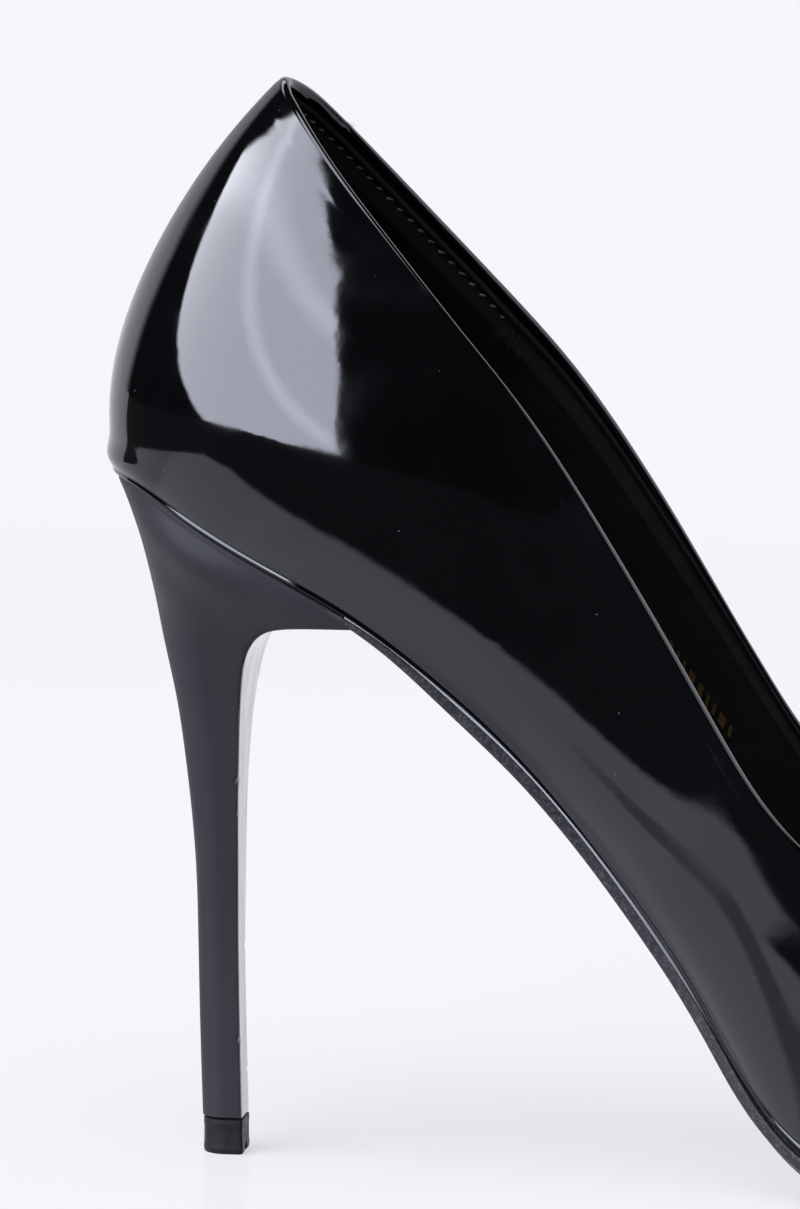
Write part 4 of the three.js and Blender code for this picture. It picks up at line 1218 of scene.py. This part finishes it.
def build_pads():
    rear = spaced(0, position_at(HEEL_PAD_END), 70, 0.6)
    pad_piece("heel_pad_foam", rear, HEEL_PAD_INSET, PAD_LOW, HEEL_PAD_END, -1, "heel_pad")
    fore = half_positions(CUSHION_START, 110)
    pad_piece("ball_cushion_foam", fore, CUSHION_INSET, CUSHION_LOW, CUSHION_START, 1, "forefoot_cushion")


# ------------------------------------------------------------------ heel
def heel_plan(length, half, corner):
    """A D outline of the given size: round at the back (x 0), flat at the breast (x length)."""
    nose = HEEL_NOSE * length
    angles = np.linspace(-math.pi / 2, math.pi / 2, 49)
    points = [(nose * (1 - math.cos(a)), half * math.sin(a)) for a in angles]
    flank = np.linspace(nose, length - corner, 10)[1:]
    points += [(x, half) for x in flank]
    bend = np.linspace(math.pi / 2, 0, 8)[1:]
    points += [(length - corner + corner * math.cos(a), half - corner + corner * math.sin(a)) for a in bend]
    points += [(length, y) for y in np.linspace(half - corner, -(half - corner), 16)[1:]]
    points += [(length - corner + corner * math.cos(a), -(half - corner) - corner * math.sin(a))
               for a in bend[::-1][1:]]
    points += [(length - corner, -half)]
    points += [(x, -half) for x in flank[::-1][1:]]
    return np.array(points)


def heel_ring(back_z, breast_z, back_x, breast_x, half, corner=0.4):
    """The heel's outline at one level, which may slope from the back to the breast."""
    plan = heel_plan(breast_x - back_x, half, corner)
    share = plan[:, 0] / (breast_x - back_x)
    return np.stack([back_x + plan[:, 0], plan[:, 1], blend(back_z, breast_z, share)], axis=1)


def heel_seat_ring(over, inset, corner=0.8):
    """The heel's outline where it meets the upper, following the feather line."""
    t = np.linspace(0, 0.2, 800)
    foot, inward = foot_and_inward(t)
    edge = foot[:, :2] + inward * inset
    back = edge[0, 0]
    length = HEEL_SEAT_FRONT_X - back
    width_at = np.interp(HEEL_SEAT_FRONT_X, edge[:, 0], edge[:, 1])
    plan = heel_plan(length, width_at, corner)
    x = back + plan[:, 0]
    outline = np.interp(x, edge[:, 0], edge[:, 1])
    y = plan[:, 1] * outline / width_at
    y = np.where(plan[:, 0] <= HEEL_NOSE * length, np.sign(plan[:, 1]) * outline, y)
    y[np.abs(plan[:, 1]) < 1e-9] = 0
    return np.stack([x, y, level_z(x, over)], axis=1)


def heel_nicks(rings):
    """Dents the two long edges of the breast."""
    breast = rings[..., 0].max(axis=1, keepdims=True)
    for z, side, depth, reach in HEEL_NICKS:
        half = np.abs(rings[..., 1]).max(axis=1, keepdims=True)
        near_edge = bell(rings[..., 0], breast, 0.5) * bell(rings[..., 1], side * half, 0.5)
        dent = depth * near_edge * bell(rings[..., 2], z, reach)
        rings[..., 0] -= dent
        rings[..., 1] -= side * dent
    return rings


def capped(rings, steps=4):
    """Adds shrinking rings to both ends, so that the end faces are small."""

    def closing(ring):
        middle = ring.mean(axis=0)
        return [blend(ring, middle, share) for share in np.linspace(0, 0.98, steps)[1:]]
    return np.array([*closing(rings[0])[::-1], *rings, *closing(rings[-1])])


def build_heel():
    """The heel block, from the tip's seam up to its seat under the upper."""
    loops = [heel_ring(*level, corner=np.interp(level[0], (60, 100), HEEL_CORNERS))
             for level in HEEL_LEVELS]
    loops.append(heel_seat_ring(*HEEL_SEAT_EDGE[0]))
    knots = running([np.linalg.norm(b - a, axis=1).mean() for a, b in zip(loops[:-1], loops[1:])])
    body = Spline(knots, np.array(loops).reshape(len(loops), -1))
    steps = spaced(0, knots[-1], 240, 0.25)
    rings = heel_nicks(body.at(steps).reshape(len(steps), -1, 3))
    eased_foot = blend(rings[0], rings[0].mean(axis=0), 0.07)
    eased_foot[:, 2] = rings[0][:, 2] - 0.02
    seat = [heel_seat_ring(over, inset) for over, inset in HEEL_SEAT_EDGE[1:]]
    piece = loft("heel_block", capped(np.array([eased_foot, *rings, *seat])), HEEL_LACQUER, sharp=50)
    # The faces that look forwards, towards the toe, are polished and painted paler, as a painted
    # reflection.
    piece.data.materials.append(HEEL_BREAST_PAINTED_REFLECTION)
    for face in piece.data.polygons:
        face.material_index = int(face.normal.x > 0.6)
    finish_piece(piece, "heel_plastic", "heel_body")


def build_top_piece():
    """The heel tip: a D block with eased edges and a small moulding notch at the front."""
    rings = np.array([
        heel_ring(z, z, -TIP_BACK - grow, TIP_FRONT + grow, TIP_HALF + grow)
        for z, grow in TIP_SIDE])
    side = Spline([z for z, _ in TIP_SIDE], rings.reshape(len(rings), -1))
    top = TIP_SIDE[-1][0]
    heights = np.concatenate([np.linspace(0, 0.5, 8), np.linspace(0.65, 4.8, 26), np.linspace(4.9, top, 6)])
    rings = side.at(heights).reshape(len(heights), -1, 3)
    notch = np.hypot(rings[..., 1] / 0.95, (rings[..., 2] - 0.2) / 1.25)
    at_front = smoothstep(rings[..., 0], 2.4, 2.9)
    rings[..., 0] -= 0.75 * (1 - smoothstep(notch, 0.75, 1.0)) * at_front
    finish_piece(loft("heel_tip_block", capped(rings), TIP, sharp=50), "tip_plastic", "top_piece")


# ------------------------------------------------------------------ CAD pieces that stay
STEEL_PIECES = ["steel_shank", "shank_rivet_1", "shank_rivet_2", "heel_dowel", "top_piece_pin",
                "heel_screw", *(f"heel_nail_{k}" for k in (1, 2, 3, 4))]
INSIDE_LOOKS = {
    "heel_counter": STIFFENER, "toe_puff": STIFFENER, "vamp_interlining": TAPE_CLOTH,
    "insole_board": FIBREBOARD, "shank_board": FIBREBOARD, "bottom_filler": FELT,
    **dict.fromkeys(STEEL_PIECES, STEEL),
}


def dress_inside_pieces():
    for name, material in INSIDE_LOOKS.items():
        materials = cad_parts[name].data.materials
        materials.clear()
        materials.append(material)


# ------------------------------------------------------------------ stage, light and camera
CAMERA_AZIMUTH = 8.5             # degrees round from the outer side, and above the horizon
CAMERA_ELEVATION = 8.8
CAMERA_PLACE = (243.2, -1449.7, 310.9)
CAMERA_LENS = 295.7
SENSOR = 36.0
BACKDROP = (0.922, 0.92, 0.972)
FLOOR_GLOW = (0.606, 0.602, 0.644)
FLOOR_SOAK = 0.13                # how much light the floor scatters, so how deep its shadows are
FLOOR_GLOSS = 0.06
FLOOR_HALF = 20.0                # half its width, in metres
SHADE_BAND_RISE = (0.38, 0.5)        # painted shade: the floor's glow is slightly darker in a band behind the shoe, from here ...
SHADE_BAND_FALL = (0.56, 0.68)       # ... to here, in metres
SHADE_BAND_TONE = 0.955
# Where glossy surfaces see the pale table end, in metres: its left edge, its near edge, a slanted
# corner from one point to another, and a notch towards the toe. A dim stripe crosses its corner.
TABLE_LEFT = -0.58
TABLE_BACK = ((-0.11, 0.0), (-1.0, 0.473))    # behind this line the floor stays pale
TABLE_NEAR = -0.33
TABLE_SLANT = ((-0.42, -0.33), (-0.115, -0.187))
TABLE_NOTCH = (-0.088, -0.122)
TABLE_STRIPE = ((-0.105, -0.118), (-0.058, -0.074))
STRIPE_START = (-0.112, -0.1)    # it fades in over this stretch of x
STRIPE_DEPTH = 0.55
# The studio that the gloss reflects. Headings are (azimuth, elevation) in degrees: azimuth 0
# looks out to the outer side, 90 towards the toe. Each edge of the key softbox goes through two
# headings, with its softness.
KEY_STRENGTH = 9.6
KEY_EDGES = (
    ((-13, 5), (-9, 32), 0.008), ((-50, -4), (-12, 1), 0.012), ((-100, 26), (-61, 3.5), 0.015),
    ((-8, 34), (-20, 42), 0.01), ((-20, 42), (-88, 42), 0.012),
)
KEY_STREAKS = (((-54, 34), (-15, 4)), ((-90, 36), (-25, 34)))
STREAK_STRENGTH = 0.28 * KEY_STRENGTH
STREAK_HALF = 0.035
# The overhead panel: strength, heading of its middle, and the cosine that it reaches out to.
OVERHEAD = (6.8, (-10, 72), 0.91)
# Further panels: strength, azimuth, the cosine that each reaches out to, and the sines of its
# lowest and highest elevation.
PANELS = ((1.6, 95, 0.72, 0.3, 0.72), (3.5, -150, 0.62, 0.62, 0.86))
STUDIO_TINT = (0.96, 0.98, 1.0)
STUDIO_DARK = 0.006
UP = np.array([0, 0, 1])


def heading(azimuth, elevation=0.0):
    """Unit vector of a heading."""
    a, e = math.radians(azimuth), math.radians(elevation)
    return np.array([math.sin(a) * math.cos(e), -math.cos(a) * math.cos(e), math.sin(e)])


def through(first, second):
    """Normal of the plane through two headings; its positive side lies to the left, going on."""
    return unit(np.cross(heading(*first), heading(*second)))


def build_camera():
    data = bpy.data.cameras.new("camera")
    data.lens = CAMERA_LENS
    data.sensor_width = SENSOR
    data.clip_end = 100
    camera = new_object("camera", data)
    camera.location = np.array(CAMERA_PLACE) * MM + ORIGIN
    camera.rotation_mode = "QUATERNION"
    ahead = Vector(-heading(CAMERA_AZIMUTH, CAMERA_ELEVATION))
    camera.rotation_quaternion = ahead.to_track_quat("-Z", "Y")
    bpy.context.scene.camera = camera


def table_end(look, x, y):
    """How dark glossy surfaces see each spot of the floor, 0 to 1."""
    soft = 0.012

    def offset(first, second):
        """Distance to the right of a line through two floor points, and its value on the line."""
        run, rise = second[0] - first[0], second[1] - first[1]
        length = math.hypot(run, rise)
        line = look.sum(look.product(x, rise / length), look.product(y, -run / length))
        return line, (first[0] * rise - first[1] * run) / length

    left = look.product(look.short_of(x, TABLE_LEFT, soft), look.short_of(*offset(*TABLE_BACK), soft))
    near = look.short_of(y, TABLE_NEAR, soft)
    corner = look.product(look.past(*offset(*TABLE_SLANT), soft),
                          look.short_of(y, TABLE_SLANT[1][1], soft))
    notch = look.product(look.past(x, TABLE_NOTCH[0], soft / 2), look.short_of(y, TABLE_NOTCH[1], soft / 2))
    line, level = offset(*TABLE_STRIPE)
    stripe = look.product(look.ramp(line, level - 0.009, level - 0.004),
                          look.ramp(line, level + 0.004, level + 0.009, STRIPE_DEPTH, 0.0))
    stripe = look.product(stripe, look.ramp(x, *STRIPE_START))
    total = left
    for part in (near, corner, notch, stripe):
        total = look.maths("MAXIMUM", total, part)
    return total


def build_floor():
    """A large pale floor that also glows, so that its shadows and reflections stay weak."""
    corners = [(x, y, 0) for x, y in ((-1, -1), (1, -1), (1, 1), (-1, 1))]
    mesh = bpy.data.meshes.new("floor")
    mesh.from_pydata((FLOOR_HALF * np.array(corners)).tolist(), [], [(0, 1, 2, 3)])
    look = Look("floor_white", (FLOOR_SOAK,) * 3, 1.0, Specular_IOR_Level=0.0)
    place = look.place()
    # Painted shade: the glow is dimmed in a band behind the shoe.
    stripe = look.product(look.ramp(place["Y"], *SHADE_BAND_RISE),
                          look.ramp(place["Y"], *SHADE_BAND_FALL, 1.0, 0.0))
    glow = look.tint(stripe, FLOOR_GLOW, tuple(SHADE_BAND_TONE * c for c in FLOOR_GLOW))
    look.link(glow, look.shader.inputs["Emission Color"])
    look.shader.inputs["Emission Strength"].default_value = 1.0
    sheen = look.node("ShaderNodeBsdfGlossy")
    sheen.inputs["Roughness"].default_value = 0.12
    floor_surface = look.layered(FLOOR_GLOSS, look.shader.outputs["BSDF"], sheen.outputs["BSDF"])
    dark = look.node("ShaderNodeBsdfDiffuse")
    dark.inputs["Color"].default_value = (0.02, 0.02, 0.02, 1)
    gloss = look.node("ShaderNodeLightPath").outputs["Is Glossy Ray"]
    beyond = look.product(table_end(look, place["X"], place["Y"]), gloss)
    final = look.layered(beyond, floor_surface, dark.outputs["BSDF"])
    look.link(final, look.tree.nodes["Material Output"].inputs["Surface"])
    mesh.materials.append(look.material)
    new_object("floor", mesh)


class Sky(Nodes):
    """Surroundings for reflections and soft light, as glowing windows in a dark studio."""

    def __init__(self):
        world = bpy.data.worlds.new("studio")
        bpy.context.scene.world = world
        world.use_nodes = True
        super().__init__(world.node_tree)
        self.tree.nodes.clear()
        self.direction = self.node("ShaderNodeTexCoord").outputs["Generated"]
        self.total = STUDIO_DARK

    def side(self, normal, level, soft):
        """1 on the positive side of a plane, 0 on the other, with a soft edge."""
        dot = self.node("ShaderNodeVectorMath", operation="DOT_PRODUCT")
        dot.inputs[1].default_value = normal
        self.link(self.direction, dot.inputs[0])
        return self.past(dot.outputs["Value"], level, soft)

    def window(self, strength, sides):
        """Adds a window bounded by planes (normal, level, softness)."""
        share = strength
        for side in sides:
            share = self.product(share, self.side(*side))
        self.total = self.sum(self.total, share)

    def finish(self):
        """Reflections and light come from the windows; the camera sees a plain backdrop."""
        seen = self.node("ShaderNodeBackground")
        seen.inputs["Color"].default_value = (*BACKDROP, 1)
        around = self.node("ShaderNodeBackground")
        around.inputs["Color"].default_value = (*STUDIO_TINT, 1)
        self.link(self.total, around.inputs["Strength"])
        direct = self.node("ShaderNodeLightPath").outputs["Is Camera Ray"]
        both = self.layered(direct, around.outputs["Background"], seen.outputs["Background"])
        self.link(both, self.node("ShaderNodeOutputWorld").inputs["Surface"])


def build_world():
    sky = Sky()
    # A white backdrop behind the shoe, up to about 33 degrees.
    sky.window(0.9, [((0, 1, 0), 0.52, 0.06), (-UP, -0.55, 0.06)])
    softbox = [(through(first, second), 0.0, soft) for first, second, soft in KEY_EDGES]
    softbox.append((heading(-70), 0.0, 0.2))     # it fades out towards the back of the shoe
    sky.window(KEY_STRENGTH, softbox)
    for streak in KEY_STREAKS:
        across = through(*streak)
        edges = [(way * across, -STREAK_HALF, STREAK_HALF) for way in (1, -1)]
        sky.window(STREAK_STRENGTH, softbox + edges)
    strength, middle, reach = OVERHEAD
    sky.window(strength, [(heading(*middle), reach, 0.02)])
    for strength, azimuth, reach, low, high in PANELS:
        sky.window(strength, [(heading(azimuth), reach, 0.03), (UP, low, 0.02), (-UP, -high, 0.02)])
    sky.finish()


bpy.context.scene.view_settings.view_transform = "Standard"
build_camera()
build_floor()
build_world()
build_upper()
build_linings()
build_tape()
build_back_strip()
build_stitches()
build_foil_marks()
build_fibres()
build_insock()
build_pads()
build_outsole()
build_sole_bead()
build_tread()
build_heel()
build_top_piece()
dress_inside_pieces()
